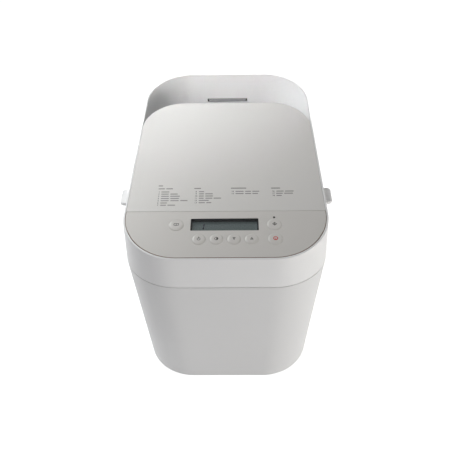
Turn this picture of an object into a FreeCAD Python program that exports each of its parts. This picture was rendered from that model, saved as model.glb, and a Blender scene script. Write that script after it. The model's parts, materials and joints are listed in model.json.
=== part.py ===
import FreeCAD
import Part
import Sketcher
import math
import os
import re

# Bread machine, free standing. Millimetres and degrees, +Z up, front towards -Y,
# origin on the floor under the middle of the case.
# The top of the case is one slope. Places on it are given as x, v (up the slope from
# the front rim) and w (out of the slope, so that pieces under it have a negative w).
SIZES = {
    # case
    "side_room": 39,
    "rear_room": 123,
    "corner_radius": 75,
    "top_inset": 6,
    "wall": 2.5,
    "base_taper_side": 13,
    "base_taper_end": 14,
    "base_radius": 70,
    "foot_height": 4,
    "seam_height": 201.5,
    "seam_gap": 1.2,
    "lip_height": 8,
    "lip_wall": 2,
    "band_height": 44.5,
    "top_tilt": 11.3,
    "rim_rise": 2,
    "rise_start": 280,
    "fit_gap": 0.3,
    "top_gap": 0.5,
    "running_gap": 0.05,
    # base, feet and screws
    "base_thickness": 3,
    "foot_radius": 10,
    "foot_inset_side": 49,
    "foot_inset_end": 53,
    "screw_radius": 2,
    "screw_head_radius": 4,
    "screw_head_height": 2,
    "screw_length": 12,
    # carry grips
    "grip_reach": 13.8,
    "grip_length": 28,
    "grip_radius": 5,
    "grip_start": 103.5,
    "grip_drop": 9,
    "grip_height": 4.5,
    "grip_wall": 2,
    # control panel
    "panel_drop": 0.3,
    "panel_thickness": 2.5,
    "row_setback": 22.4,
    "row_gap": 1.65,
    "side_key_x": 61.7,
    "side_key_drop": 0.7,
    "key_spacing": 21.7,
    "side_key_radius": 9.2,
    "key_radius": 8.3,
    "key_gap": 0.25,
    "key_height": 1.2,
    "key_travel": 0.9,
    "key_flange": 1,
    "key_flange_thickness": 1.2,
    "key_stem_radius": 2,
    "lcd_x": -1,
    "lcd_width": 85.7,
    "lcd_height": 20.1,
    "lcd_radius": 1.5,
    "lcd_drop": 0.5,
    "lcd_border": 3,
    "lcd_recess": 3,
    "lamp_radius": 1.4,
    "lamp_rise": 11.3,
    "lamp_length": 6,
    "board_depth": 13,
    "board_thickness": 1.6,
    "board_front_margin": 16,
    "board_rear_margin": 5.7,
    "board_side_margin": 29.5,
    "switch_side": 6,
    "switch_height": 3.5,
    "plunger_radius": 1.7,
    "plunger_height": 0.7,
    "carrier_inset": 3,
    "carrier_wall": 2,
    "carrier_post_radius": 3,
    "carrier_post_inset": 12,
    "carrier_post_rear_inset": 6,
    # deck round the oven, and the well behind the lid
    "deck_depth": 27,
    "deck_thickness": 2,
    "deck_lip": 7.66,
    "well_depth": 60,
    "tray_thickness": 2,
    "vent_width": 70,
    "vent_height": 6,
    "vent_drop": 44.5,
    "vent_slit": 1.2,
    # lid and its hinge
    "lid_front_room": 15.94,
    "lid_overhang": 12,
    "lid_rear_radius": 60,
    "lid_depth": 24,
    "lid_thickness": 2.5,
    "lid_wall": 2.5,
    "skirt_inset": 1.5,
    "lid_liner_thickness": 0.8,
    "bulkhead_step": 2,
    "lid_boss_radius": 4,
    "lid_screw_radius": 1.5,
    "lid_screw_head_radius": 3.2,
    "lid_screw_head_height": 1.4,
    "lid_screw_gap": 2.8,
    "lid_screw_front_inset": 12.5,
    "lid_screw_rear_inset": 22,
    "seal_width": 6,
    "seal_margin": 7,
    "hinge_step": 16,
    "hinge_depth": 20,
    "hinge_pin_radius": 3,
    "hinge_ear_radius": 8,
    "hinge_ear_x": 56,
    "hinge_ear_width": 10,
    "hinge_lug_radius": 7,
    "hinge_lug_width": 17,
    # oven
    "oven_width": 190,
    "oven_length": 156,
    "oven_radius": 24,
    "oven_floor": 60,
    "liner_thickness": 1,
    "heater_radius": 3.2,
    "heater_rise": 32,
    "heater_inset": 7,
    "heater_lead_inset": 11,
    "heater_lead_length": 18,
    "clip_width": 9,
    "clip_height": 14,
    "clip_inset": 14,
    "sensor_radius": 4,
    "sensor_reach": 9,
    "sensor_flange_radius": 7,
    "sensor_flange_thickness": 2,
    "sensor_rise": 90,
    "seat_height": 5,
    "seat_inner": 44,
    "seat_width": 7,
    # pan, its handle and blade
    "pan_side_room": 20,
    "pan_end_room": 15,
    "pan_radius": 22,
    "pan_wall": 1.2,
    "pan_height": 117,
    "pan_flange": 3,
    "pan_ring_width": 6,
    "pan_ring_height": 9.7,
    "pan_bush_radius": 8,
    "pan_bush_flange": 4,
    "pan_bush_flange_thickness": 1.5,
    "pan_shaft_radius": 4,
    "seal_thickness": 0.8,
    "bracket_thickness": 2,
    "bracket_width": 16,
    "bracket_drop": 22,
    "handle_rise": 6,
    "handle_pin_radius": 2.5,
    "handle_wire": 2.5,
    "handle_reach": 50,
    "handle_bend": 18,
    "handle_eye_radius": 5,
    "blade_hub_radius": 9,
    "blade_height": 20,
    "blade_reach": 46,
    "blade_thickness": 6,
    # drive
    "chassis_height": 34,
    "chassis_thickness": 3,
    "chassis_side": 23,
    "chassis_setback": 11,
    "chassis_margin": 12,
    "post_radius": 5,
    "post_side_inset": 9,
    "post_end_inset": 10,
    "boss_radius": 10,
    "boss_gap": 1,
    "drive_shaft_radius": 4,
    "bush_radius": 6.5,
    "bush_length": 8,
    "pulley_low": 14,
    "pulley_height": 12,
    "pulley_flange": 2,
    "pulley_flange_thickness": 1.2,
    "driven_radius": 50,
    "pulley_hole_radius": 11,
    "pulley_hole_circle": 29,
    "motor_pulley_radius": 10,
    "belt_thickness": 2.5,
    "clip_ring_radius": 7,
    "clip_ring_thickness": 1,
    "coupler_radius": 15,
    "coupler_thickness": 3,
    "coupler_gap": 1,
    "dog_x": 9.5,
    "dog_width": 5,
    "dog_length": 10,
    "dog_height": 6,
    "coupling_bar_width": 7,
    "coupling_bar_length": 26,
    "coupling_bar_height": 4,
    "collar_wall": 2.4,
    # motor
    "motor_gap": 2.5,
    "motor_room": 20,
    "motor_radius": 36,
    "motor_height": 72,
    "motor_wall": 1.5,
    "motor_shaft_radius": 3,
    "stator_height": 40,
    "rotor_radius": 22,
    "grommet_radius": 5,
    "grommet_hole": 2,
    "grommet_height": 3,
    "grommet_circle": 27,
    # mains board and cord inlet
    "mains_width": 110,
    "mains_length": 66,
    "mains_setback": 53,
    "mains_height": 20,
    "mains_thickness": 1.6,
    "standoff_radius": 4,
    "standoff_inset": 6,
    "capacitor_radius": 11,
    "capacitor_height": 30,
    "relay_width": 28,
    "relay_length": 20,
    "relay_height": 22,
    "gland_x": -40,
    "gland_height": 16,
    "gland_radius": 8,
    "gland_bore": 3.75,
    "gland_flange_radius": 12,
    "gland_flange_thickness": 3,
    "gland_depth": 16,
}

# What follows from the sizes. The case is built round the oven, with the motor in front of it.
WORKED_OUT = {
    "front_room": "base_taper_end + wall + motor_gap + 2*motor_radius + motor_room",
    "band_width": "oven_width + 2*side_room",
    "band_depth": "front_room + oven_length + rear_room",
    "base_width": "band_width - 2*base_taper_side",
    "base_depth": "band_depth - 2*base_taper_end",
    "front": "-band_depth/2",
    "front_rim_height": "seam_height + band_height",
    "slope_length": "band_depth/cos(top_tilt)",
    "rise_radius": "((slope_length - rise_start)^2 + rim_rise^2)/(2*rim_rise)",
    "case_top": "front_rim_height + band_depth*tan(top_tilt) + rim_rise/cos(top_tilt)",
    "top_draft": "top_inset/(case_top - seam_height)",
    "base_draft": "base_taper_end/(seam_height - foot_height)",
    "base_top": "foot_height + base_thickness",
    "foot_x": "base_width/2 - foot_inset_side",
    "foot_y": "base_depth/2 - foot_inset_end",
    "vent_low": "case_top - vent_drop - vent_height",
    "oven_y": "front + front_room + oven_length/2",
    "oven_v": "(oven_y - front)/cos(top_tilt) - deck_depth*tan(top_tilt)",
    "seal_reach": "oven_length/2 + seal_margin + seal_width",
    "lid_seam": "oven_v - seal_reach - lid_front_room",
    "deck_rear": "oven_v + seal_reach + deck_lip",
    "deck_low": "-deck_depth - deck_thickness",
    "lid_bulkhead": "deck_rear + bulkhead_step",
    "lid_under": "panel_top - lid_thickness",
    "hinge_v": "deck_rear + hinge_step",
    "lid_rear": "hinge_v + lid_overhang",
    "lid_turn": "lid_rear - lid_rear_radius",
    "lid_turn_height": "front_rim_height + lid_turn*sin(top_tilt)",
    "lid_screw_x": "oven_width/2 + seal_margin + seal_width + lid_screw_head_radius + lid_screw_gap",
    "panel_top": "-panel_drop",
    "panel_low": "-panel_drop - panel_thickness",
    "row_high": "lid_seam - row_setback",
    "row_low": "row_high - lcd_height/2 - lcd_border - key_radius - key_flange - row_gap",
    "lamp_v": "row_high + lamp_rise",
    "side_key_v": "row_high - side_key_drop",
    "board_low": "-board_depth - board_thickness",
    "board_front": "row_low - board_front_margin",
    "board_rear": "lamp_v + board_rear_margin",
    "board_side": "side_key_x + board_side_margin",
    "switch_top": "-board_depth + switch_height",
    "heater_height": "oven_floor + heater_rise",
    "heater_lead_x": "oven_width/2 - oven_radius - heater_lead_inset",
    "clip_y": "oven_length/2 - oven_radius - clip_inset",
    "sensor_height": "oven_floor + sensor_rise",
    "seat_low": "oven_floor + liner_thickness",
    "seat_top": "seat_low + seat_height",
    "pan_width": "oven_width - 2*pan_side_room",
    "pan_length": "oven_length - 2*pan_end_room",
    "pan_floor": "seat_top + fit_gap + pan_ring_height",
    "pan_inside": "pan_floor + pan_wall",
    "pan_rim": "pan_floor + pan_height",
    "handle_z": "pan_rim + handle_rise",
    "bracket_x": "pan_width/2 + pan_flange + fit_gap + bracket_thickness",
    "handle_x": "bracket_x + 2*fit_gap + handle_wire",
    "blade_low": "pan_inside + seal_thickness + fit_gap",
    "blade_top": "pan_inside + blade_height",
    "motor_y": "oven_y - oven_length/2 - motor_room - motor_radius",
    "chassis_front": "motor_y - motor_radius + chassis_setback",
    "chassis_rear": "oven_y + driven_radius + pulley_flange + chassis_margin",
    "chassis_width": "2*(driven_radius + pulley_flange + chassis_side)",
    "chassis_top": "chassis_height + chassis_thickness",
    "post_x": "chassis_width/2 - post_side_inset",
    "boss_top": "oven_floor - boss_gap",
    "pulley_top": "pulley_low + pulley_height",
    "coupler_low": "seat_low + coupler_gap",
    "coupler_top": "coupler_low + coupler_thickness",
    "coupling_low": "coupler_top + dog_height - coupling_bar_height",
    "coupling_top": "pan_floor - pan_bush_flange_thickness - fit_gap",
    "motor_low": "chassis_top + grommet_height",
    "motor_top": "motor_low + motor_height",
    "stator_low": "motor_low + motor_height/2 - stator_height/2",
    "mains_y": "base_depth/2 - mains_setback",
    "mains_top": "mains_height + mains_thickness",
}

# The keys: name, place across the panel, place up the panel, radius
KEYS = (
    ("menu_button", "(-side_key_x)", "side_key_v", "side_key_radius"),
    ("start_button", "side_key_x", "side_key_v", "side_key_radius"),
    ("stop_button", "side_key_x", "row_low", "side_key_radius"),
    ("timer_button", "(-1.5*key_spacing)", "row_low", "key_radius"),
    ("crust_button", "(-0.5*key_spacing)", "row_low", "key_radius"),
    ("down_button", "(0.5*key_spacing)", "row_low", "key_radius"),
    ("up_button", "(1.5*key_spacing)", "row_low", "key_radius"),
)

doc = FreeCAD.newDocument("bread_machine")
sheet = doc.addObject("Spreadsheet::Sheet", "sizes")
for row, (alias, number) in enumerate(SIZES.items(), start=1):
    sheet.set(f"A{row}", alias)
    sheet.set(f"B{row}", str(number))
    sheet.setAlias(f"B{row}", alias)
doc.recompute()

nodes = {}


def formula(text):
    """Point each size's name in a formula at its cell in the sheet."""
    def cell(found):
        word = found[0]
        if word in WORKED_OUT:
            return f"({formula(WORKED_OUT[word])})"
        return f"sizes.{word}" if word in SIZES else word
    return re.sub(r"[a-z][a-z_]*", cell, text)


def value(text):
    """The number that a formula gives now."""
    return float(sheet.evalExpression(formula(text)))


def bind(item, setting, text):
    item.setExpression(setting, formula(text))


def keep(item, label):
    """Name a finished sub-part."""
    item.Label = label
    nodes[label] = item
    return item


# Places


def on_slope(v, w):
    """The y and z of a place on the sloping top."""
    y = f"(front + ({v})*cos(top_tilt) - ({w})*sin(top_tilt))"
    z = f"(front_rim_height + ({v})*sin(top_tilt) + ({w})*cos(top_tilt))"
    return y, z


def place(item, x, y, z, axis="1; 0; 0", angle="0"):
    bind(item, "Placement", f"placement(vector({x}; {y}; {z}); rotation(vector({axis}); {angle}))")
    return item


def place_on_slope(item, x, v, w):
    y, z = on_slope(v, w)
    return place(item, x, y, z, angle="top_tilt")


# Solids that the sub-parts are made from


def box(name, size, at):
    item = doc.addObject("Part::Box", name)
    for setting, text in zip(("Length", "Width", "Height"), size):
        bind(item, setting, text)
    return place(item, *at)


def middle_box(name, size, at):
    """A box that is centred on its place in x and y and stands on its z."""
    x, y, z = at
    return box(name, size, (f"{x} - ({size[0]})/2", f"{y} - ({size[1]})/2", z))


def slab(name, width, v_range, w_range, x="0"):
    """A box lying in the slope, centred on x."""
    item = doc.addObject("Part::Box", name)
    bind(item, "Length", width)
    bind(item, "Width", f"{v_range[1]} - ({v_range[0]})")
    bind(item, "Height", f"{w_range[1]} - ({w_range[0]})")
    return place_on_slope(item, f"{x} - ({width})/2", v_range[0], w_range[0])


def cylinder(name, radius, height):
    item = doc.addObject("Part::Cylinder", name)
    bind(item, "Radius", radius)
    bind(item, "Height", height)
    return item


def post(name, radius, low, high, x="0", y="0"):
    return place(cylinder(name, radius, f"{high} - ({low})"), x, y, low)


def slope_post(name, radius, low, high, x, v):
    return place_on_slope(cylinder(name, radius, f"{high} - ({low})"), x, v, low)


def rod_along_x(name, radius, x_range, y, z):
    rod = cylinder(name, radius, f"{x_range[1]} - ({x_range[0]})")
    return place(rod, x_range[0], y, z, axis="0; 1; 0", angle="90")


def rod_along_y(name, radius, y_range, x, z):
    rod = cylinder(name, radius, f"{y_range[1]} - ({y_range[0]})")
    return place(rod, x, y_range[0], z, axis="1; 0; 0", angle="-90")


def tube(name, radius, hole, low, high, x="0", y="0"):
    return cut(name, post(f"{name}_outside", radius, low, high, x, y),
               post(f"{name}_hole", hole, f"{low} - fit_gap", f"{high} + fit_gap", x, y))


def fuse(name, items):
    item = doc.addObject("Part::MultiFuse", name)
    item.Shapes = items
    return item


def cut(name, base, *tools):
    item = doc.addObject("Part::Cut", name)
    item.Base = base
    item.Tool = tools[0] if len(tools) == 1 else fuse(f"{name}_tools", list(tools))
    return item


def common(name, base, tool):
    item = doc.addObject("Part::Common", name)
    item.Base = base
    item.Tool = tool
    return item


def new_sketch(body, name):
    """A sketch on the body's own XY plane."""
    plane = next(feature for feature in body.Origin.OriginFeatures if feature.Role == "XY_Plane")
    sketch = body.newObject("Sketcher::SketchObject", name)
    sketch.AttachmentSupport = (plane, [""])
    sketch.MapMode = "FlatFace"
    return sketch


def add_outline(sketch, width, depth, radius):
    """Draw a rounded rectangle about the sketch's origin, bound to the sheet."""
    right = value(width)/2
    rear = value(depth)/2
    round_off = value(radius)
    x = right - round_off
    y = rear - round_off
    first = len(sketch.Geometry)
    sides = (((-x, -rear), (x, -rear)), ((right, -y), (right, y)),
             ((x, rear), (-x, rear)), ((-right, y), (-right, -y)))
    for start, end in sides:
        sketch.addGeometry(Part.LineSegment(FreeCAD.Vector(*start, 0), FreeCAD.Vector(*end, 0)))
    quarter = math.pi/2
    for turn, (corner_x, corner_y) in enumerate(((x, -y), (x, y), (-x, y), (-x, -y)), start=-1):
        circle = Part.Circle(FreeCAD.Vector(corner_x, corner_y, 0), FreeCAD.Vector(0, 0, 1), round_off)
        sketch.addGeometry(Part.ArcOfCircle(circle, turn*quarter, (turn + 1)*quarter))
    for side in range(4):
        arc = first + 4 + side
        sketch.addConstraint(Sketcher.Constraint("Tangent", first + side, 2, arc, 1))
        sketch.addConstraint(Sketcher.Constraint("Tangent", arc, 2, first + (side + 1) % 4, 1))
        direction = "Horizontal" if side % 2 == 0 else "Vertical"
        sketch.addConstraint(Sketcher.Constraint(direction, first + side))
    for arc in (5, 6, 7):
        sketch.addConstraint(Sketcher.Constraint("Equal", first + 4, first + arc))
    sketch.addConstraint(Sketcher.Constraint("Symmetric", first + 4, 3, first + 6, 3, -1, 1))
    across = sketch.addConstraint(
        Sketcher.Constraint("DistanceX", first + 3, 1, first + 1, 1, 2*right))
    along = sketch.addConstraint(Sketcher.Constraint("DistanceY", first, 1, first + 2, 1, 2*rear))
    corner = sketch.addConstraint(Sketcher.Constraint("Radius", first + 4, round_off))
    for constraint, text in ((across, width), (along, depth), (corner, radius)):
        bind(sketch, f"Constraints[{constraint}]", text)


def prism(name, outlines, height):
    """A padded rounded rectangle, or a ring where a second, inner one is given."""
    body = doc.addObject("PartDesign::Body", name)
    sketch = new_sketch(body, f"{name}_outline")
    for outline in outlines:
        add_outline(sketch, *outline)
    pad = body.newObject("PartDesign::Pad", f"{name}_pad")
    pad.Profile = sketch
    bind(pad, "Length", height)
    return body


def upright(name, outlines, low, high, y="0"):
    return place(prism(name, outlines, f"{high} - ({low})"), "0", y, low)


def tilted(name, outlines, low, high, v, x="0"):
    return place_on_slope(prism(name, outlines, f"{high} - ({low})"), x, v, low)


def inset(outline, amount):
    """An outline drawn in by an amount all round."""
    width, depth, radius = outline
    return f"{width} - 2*({amount})", f"{depth} - 2*({amount})", f"{radius} - ({amount})"


BAND = ("band_width", "band_depth", "corner_radius")
TOP = inset(BAND, "top_inset")
BASE = ("base_width", "base_depth", "base_radius")
OVEN = ("oven_width", "oven_length", "oven_radius")
PAN = ("pan_width", "pan_length", "pan_radius")


def add_loft(name, body, low_outline, high_outline, height, kind):
    """A straight-sided loft between two outlines, added to a body or cut from it."""
    low = new_sketch(body, f"{name}_low")
    add_outline(low, *low_outline)
    high = new_sketch(body, f"{name}_high")
    add_outline(high, *high_outline)
    bind(high, "AttachmentOffset.Base.z", height)
    loft = body.newObject(kind, name)
    loft.Profile = low
    loft.Sections = [high]
    loft.Ruled = True


def case_column(name, gap, low_outline, high_outline, low, high):
    """A stage of the case as a solid, drawn in by a gap all round."""
    body = doc.addObject("PartDesign::Body", name)
    add_loft(f"{name}_loft", body, inset(low_outline, gap), inset(high_outline, gap), f"{high} - {low}",
             "PartDesign::AdditiveLoft")
    return place(body, "0", "0", low)


def lower_column(name, gap):
    return case_column(name, gap, BASE, BAND, "foot_height", "seam_height")


def upper_column(name, gap):
    return case_column(name, gap, BAND, TOP, "seam_height", "case_top")


def slope_plate(name, gap, v_range, w_range):
    """A plate in the slope whose edge follows the upper case at a gap."""
    return common(name, upper_column(f"{name}_column", gap),
                  slab(f"{name}_slab", "2*band_width", v_range, w_range))


def mirrored_pair(name, make):
    """The same piece on the left and on the right, as one node of two solids."""
    return fuse(name, [make(f"{name}_{side}", sign) for side, sign in (("left", "-1"), ("right", "1"))])


# Case


def lower_housing():
    shell = cut("lower_shell", lower_column("lower_outside", "0"), lower_column("lower_inside", "wall"))
    lip_inside = inset(BAND, "wall + 2*fit_gap + lip_wall")
    lip = upright("seam_lip", [inset(BAND, "wall + 2*fit_gap"), lip_inside],
                  "seam_height", "seam_height + lip_height")
    bridge = upright("seam_bridge", [inset(BAND, "wall/2"), lip_inside],
                     "seam_height - lip_height", "seam_height")
    bridge_inside = common("seam_bridge_inside", bridge, lower_column("lower_limit", "0"))
    slot_width = "2*(gland_radius + fit_gap)"
    slot = middle_box("inlet_slot", (slot_width, "rear_room", "gland_height + gland_radius + fit_gap"),
                      ("gland_x", "band_depth/2", "0"))
    keep(cut("lower_case", fuse("lower_walls", [shell, bridge_inside, lip]), slot), "lower_housing")


def rim_cutter():
    """What is cut off above the rim, which follows the slope and climbs towards the rear."""
    front = slab("rim_front", "2*band_width", ("-band_depth", "rise_start"), ("0", "band_depth"))
    y, z = on_slope("rise_start", "rise_radius")
    rear = rod_along_x("rim_rear", "rise_radius", ("-band_width", "band_width"), y, z)
    return fuse("rim_cutter", [front, rear])


def upper_housing():
    shell = cut("upper_shell", upper_column("upper_outside", "0"), upper_column("upper_inside", "wall"))
    seam = middle_box("seam_cutter", ("2*band_width", "2*band_depth", "seam_gap"),
                      ("0", "0", "seam_height"))
    vent = middle_box("vent_hole", ("vent_width", "rear_room", "vent_height"),
                      ("0", "band_depth/2", "vent_low"))
    keep(cut("upper_case", shell, rim_cutter(), seam, vent), "upper_housing")


def vent_louvre():
    """A slatted insert in the vent of the rear wall."""
    width = "(vent_width - 2*fit_gap)"
    height = "(vent_height - 2*fit_gap)"
    low = "(vent_low + fit_gap)"
    middle = "(band_depth/2 - top_draft*(vent_low + vent_height/2 - seam_height) - wall/2)"
    frame = middle_box("louvre_block", (width, "wall", height), ("0", middle, low))
    slits = [middle_box(f"louvre_slit_{number}", (f"{width} - 4*vent_slit", "2*wall", "vent_slit"),
                        ("0", middle, f"{low} + {height}*{share} - vent_slit/2"))
             for number, share in enumerate(("0.3", "0.7"))]
    keep(cut("louvre", frame, *slits), "vent_louvre")


def grip(name, sign):
    """A moulded hand grip on the side of the band, hollow underneath."""
    outline = ("2*grip_reach", "grip_length", "grip_radius")
    x = f"({sign}*(band_width/2 - top_inset))"
    v = "(grip_start + grip_length/2)"
    low = "(-grip_drop - grip_height)"
    block = tilted(f"{name}_block", [outline], low, "(-grip_drop)", v, x)
    hollow = tilted(f"{name}_hollow", [inset(outline, "grip_wall")], f"{low} - fit_gap",
                    "(-grip_drop - grip_wall)", v, x)
    keep(cut(f"{name}_part", block, hollow, upper_column(f"{name}_case", "0")), name)


def screw_places():
    """The four posts of the drive chassis, which the base screws go up into."""
    front = "(chassis_front + post_end_inset)"
    rear = "(chassis_rear - post_end_inset)"
    return [(x, y) for x in ("(-post_x)", "post_x") for y in (front, rear)]


def mains_standoffs():
    across = "(mains_width/2 - standoff_inset)"
    along = "(mains_length/2 - standoff_inset)"
    return [(f"({sign_x}{across})", f"(mains_y {sign_y} {along})")
            for sign_x in ("-", "") for sign_y in ("-", "+")]


def base_plate():
    plate = upright("base_sheet", [inset(BASE, "wall + fit_gap")], "foot_height", "base_top")
    standoffs = [post(f"standoff_{number}", "standoff_radius", "foot_height", "mains_height", x, y)
                 for number, (x, y) in enumerate(mains_standoffs())]
    holes = [post(f"base_hole_{number}", "screw_radius + fit_gap", "0", "2*foot_height", x, y)
             for number, (x, y) in enumerate(screw_places())]
    keep(cut("base", fuse("base_raised", [plate, *standoffs]), *holes), "base_plate")


def rubber_feet():
    feet = [post(f"foot_{number}", "foot_radius", "0", "foot_height", x, y)
            for number, (x, y) in enumerate((x, y) for x in ("(-foot_x)", "foot_x")
                                            for y in ("(-foot_y)", "foot_y"))]
    keep(fuse("feet", feet), "rubber_feet")


def base_screws():
    screws = []
    for number, (x, y) in enumerate(screw_places()):
        head = post(f"screw_head_{number}", "screw_head_radius", "foot_height - screw_head_height",
                    "foot_height", x, y)
        shank = post(f"screw_shank_{number}", "screw_radius", "foot_height",
                     "foot_height + screw_length", x, y)
        screws.append(fuse(f"screw_{number}", [head, shank]))
    keep(fuse("screws", screws), "base_screws")


# Control panel


def control_panel():
    plate = slope_plate("panel_plate", "wall + top_gap", ("0", "lid_seam - top_gap/2"),
                        ("panel_low", "panel_top"))
    through = ("panel_low - fit_gap", "panel_top + fit_gap")
    holes = [slope_post(f"{name}_hole", f"{radius} + key_gap", *through, x, v)
             for name, x, v, radius in KEYS]
    lamp = slope_post("lamp_hole", "lamp_radius + key_gap/2", *through,
                      "side_key_x", "lamp_v")
    window = tilted("lcd_hole", [("lcd_width", "lcd_height", "lcd_radius")], *through, "row_high", "lcd_x")
    keep(cut("panel", plate, *holes, lamp, window), "control_panel")


def panel_carrier():
    """The tray under the panel, which stands on the deck and carries the control board."""
    tray = slope_plate("carrier_block", "wall + carrier_inset", ("-wall", "lid_seam - carrier_wall"),
                       ("-deck_depth", "panel_low"))
    inside = slope_plate("carrier_inside", "wall + carrier_inset + carrier_wall",
                         ("-wall", "lid_seam - 2*carrier_wall"),
                         ("-deck_depth + carrier_wall", "panel_thickness"))
    places = [(f"({sign}*(board_side - carrier_post_inset))", v) for sign in ("-1", "1")
              for v in ("(board_front + carrier_post_inset)", "(board_rear - carrier_post_rear_inset)")]
    posts = [slope_post(f"carrier_post_{number}", "carrier_post_radius", "-deck_depth", "board_low", x, v)
             for number, (x, v) in enumerate(places)]
    keep(fuse("carrier", [cut("carrier_tray", tray, inside), *posts]), "panel_carrier")


def lcd_window():
    outline = inset(("lcd_width", "lcd_height", "lcd_radius"), "fit_gap/2")
    keep(tilted("lcd_pane", [outline], "panel_low", "panel_top - lcd_drop", "row_high", "lcd_x"),
         "lcd_window")


def lcd_module():
    """The display in its frame, which holds the glass some way under the window."""
    window = ("lcd_width", "lcd_height", "lcd_radius")
    block = tilted("lcd_block", [inset(window, "-lcd_border")], "-board_depth", "panel_low", "row_high",
                   "lcd_x")
    recess = tilted("lcd_recess", [window], "panel_low - lcd_recess", "panel_low + fit_gap", "row_high",
                    "lcd_x")
    keep(cut("lcd_frame", block, recess), "lcd_module")


def indicator_lens():
    keep(slope_post("lamp", "lamp_radius", "-lamp_length", "panel_top + lamp_radius/4",
                    "side_key_x", "lamp_v"), "indicator_lens")


def control_board():
    keep(slab("board", "2*board_side", ("board_front", "board_rear"), ("board_low", "-board_depth")),
         "control_board")


def key_switches():
    switches = []
    for name, x, v, radius in KEYS:
        case = slab(f"{name}_switch_case", "switch_side",
                    (f"{v} - switch_side/2", f"{v} + switch_side/2"),
                    ("-board_depth", "switch_top - plunger_height"), x)
        plunger = slope_post(f"{name}_plunger", "plunger_radius", "-board_depth", "switch_top", x, v)
        switches.append(fuse(f"{name}_switch", [case, plunger]))
    keep(fuse("switches", switches), "key_switches")


def key(name, x, v, radius):
    """A raised key with a retaining flange under the panel and a stem over its switch."""
    flange_top = "(panel_low - fit_gap)"
    flange_low = f"({flange_top} - key_flange_thickness)"
    cap = slope_post(f"{name}_cap", radius, flange_low, "panel_top + key_height", x, v)
    flange = slope_post(f"{name}_flange", f"{radius} + key_flange", flange_low, flange_top, x, v)
    stem = slope_post(f"{name}_stem", "key_stem_radius", "switch_top + key_travel + fit_gap",
                      flange_low, x, v)
    keep(fuse(f"{name}_key", [cap, flange, stem]), name)


# Deck and well


def oven_surround():
    deck = slope_plate("deck_plate", "wall + fit_gap", ("-deck_depth", "deck_rear"),
                       ("deck_low", "-deck_depth"))
    mouth = upright("deck_mouth", [OVEN], "0", "case_top", "oven_y")
    keep(cut("deck", deck, mouth), "oven_surround")


def hinge_ear(name, sign):
    middle = f"({sign}*(hinge_ear_x + hinge_ear_width/2))"
    y, z = on_slope("hinge_v", "-hinge_depth")
    column = slab(f"{name}_column", "hinge_ear_width",
                  ("hinge_v - hinge_ear_radius", "hinge_v + hinge_ear_radius"),
                  ("-well_depth - tray_thickness/2", "-hinge_depth"), middle)
    across = (f"{middle} - hinge_ear_width/2", f"{middle} + hinge_ear_width/2")
    top = rod_along_x(f"{name}_top", "hinge_ear_radius", across, y, z)
    return fuse(name, [column, top])


def hinge_bore(name, radius):
    """A bore along the whole hinge line."""
    y, z = on_slope("hinge_v", "-hinge_depth")
    return rod_along_x(name, radius, ("-band_width/2", "band_width/2"), y, z)


def rear_tray():
    floor = slope_plate("tray_floor", "wall + fit_gap", ("deck_rear", "2*slope_length"),
                        ("-well_depth - tray_thickness", "-well_depth"))
    step = slope_plate("tray_step", "wall + fit_gap", ("deck_rear", "deck_rear + tray_thickness"),
                       ("-well_depth - tray_thickness", "-deck_depth"))
    ears = mirrored_pair("hinge_ears", hinge_ear)
    bore = hinge_bore("ear_bore", "hinge_pin_radius + running_gap")
    keep(cut("tray", fuse("tray_walls", [floor, step, ears]), bore), "rear_tray")


# Lid


def lid_block(name, gap, w_range, rear="2*lid_rear"):
    """The lid's outline between two depths, drawn in by a gap."""
    width = "(band_width - 2*top_draft*(lid_turn_height - seam_height) - 2*wall - 2*top_gap)"
    outline = (width, "2*(lid_rear - lid_seam)", "lid_rear_radius")
    rounded = tilted(f"{name}_rounded", [inset(outline, gap)], *w_range, "lid_seam")
    front = f"(lid_seam + top_gap/2 + {gap})"
    strip = common(f"{name}_strip", rounded,
                   slab(f"{name}_slab", "2*band_width", (front, rear), w_range))
    return common(name, strip, upper_column(f"{name}_case", f"wall + top_gap + {gap}"))


def lid_screw_places():
    return [(x, v) for x in ("(-lid_screw_x)", "lid_screw_x")
            for v in ("(lid_seam + lid_screw_front_inset)", "(deck_rear - lid_screw_rear_inset)")]


def hinge_lug(name, sign):
    """The arm that hangs from the lid to the hinge line, beside the ear."""
    middle = f"({sign}*(hinge_ear_x - fit_gap - hinge_lug_width/2))"
    y, z = on_slope("hinge_v", "-hinge_depth")
    column = slab(f"{name}_column", "hinge_lug_width",
                  ("hinge_v - hinge_lug_radius", "hinge_v + hinge_lug_radius"),
                  ("-hinge_depth", "panel_top - lid_thickness/2"), middle)
    across = (f"{middle} - hinge_lug_width/2", f"{middle} + hinge_lug_width/2")
    end = rod_along_x(f"{name}_end", "hinge_lug_radius", across, y, z)
    return fuse(name, [column, end])


def ear_notch(name, sign):
    """Room in the lid's rear wall for the ear as the lid swings."""
    middle = f"({sign}*(hinge_ear_x + hinge_ear_width/2))"
    return slab(name, "hinge_ear_width + 6*top_gap", ("lid_bulkhead + lid_wall", "2*lid_rear"),
                ("-2*lid_depth", "lid_under"), middle)


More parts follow.
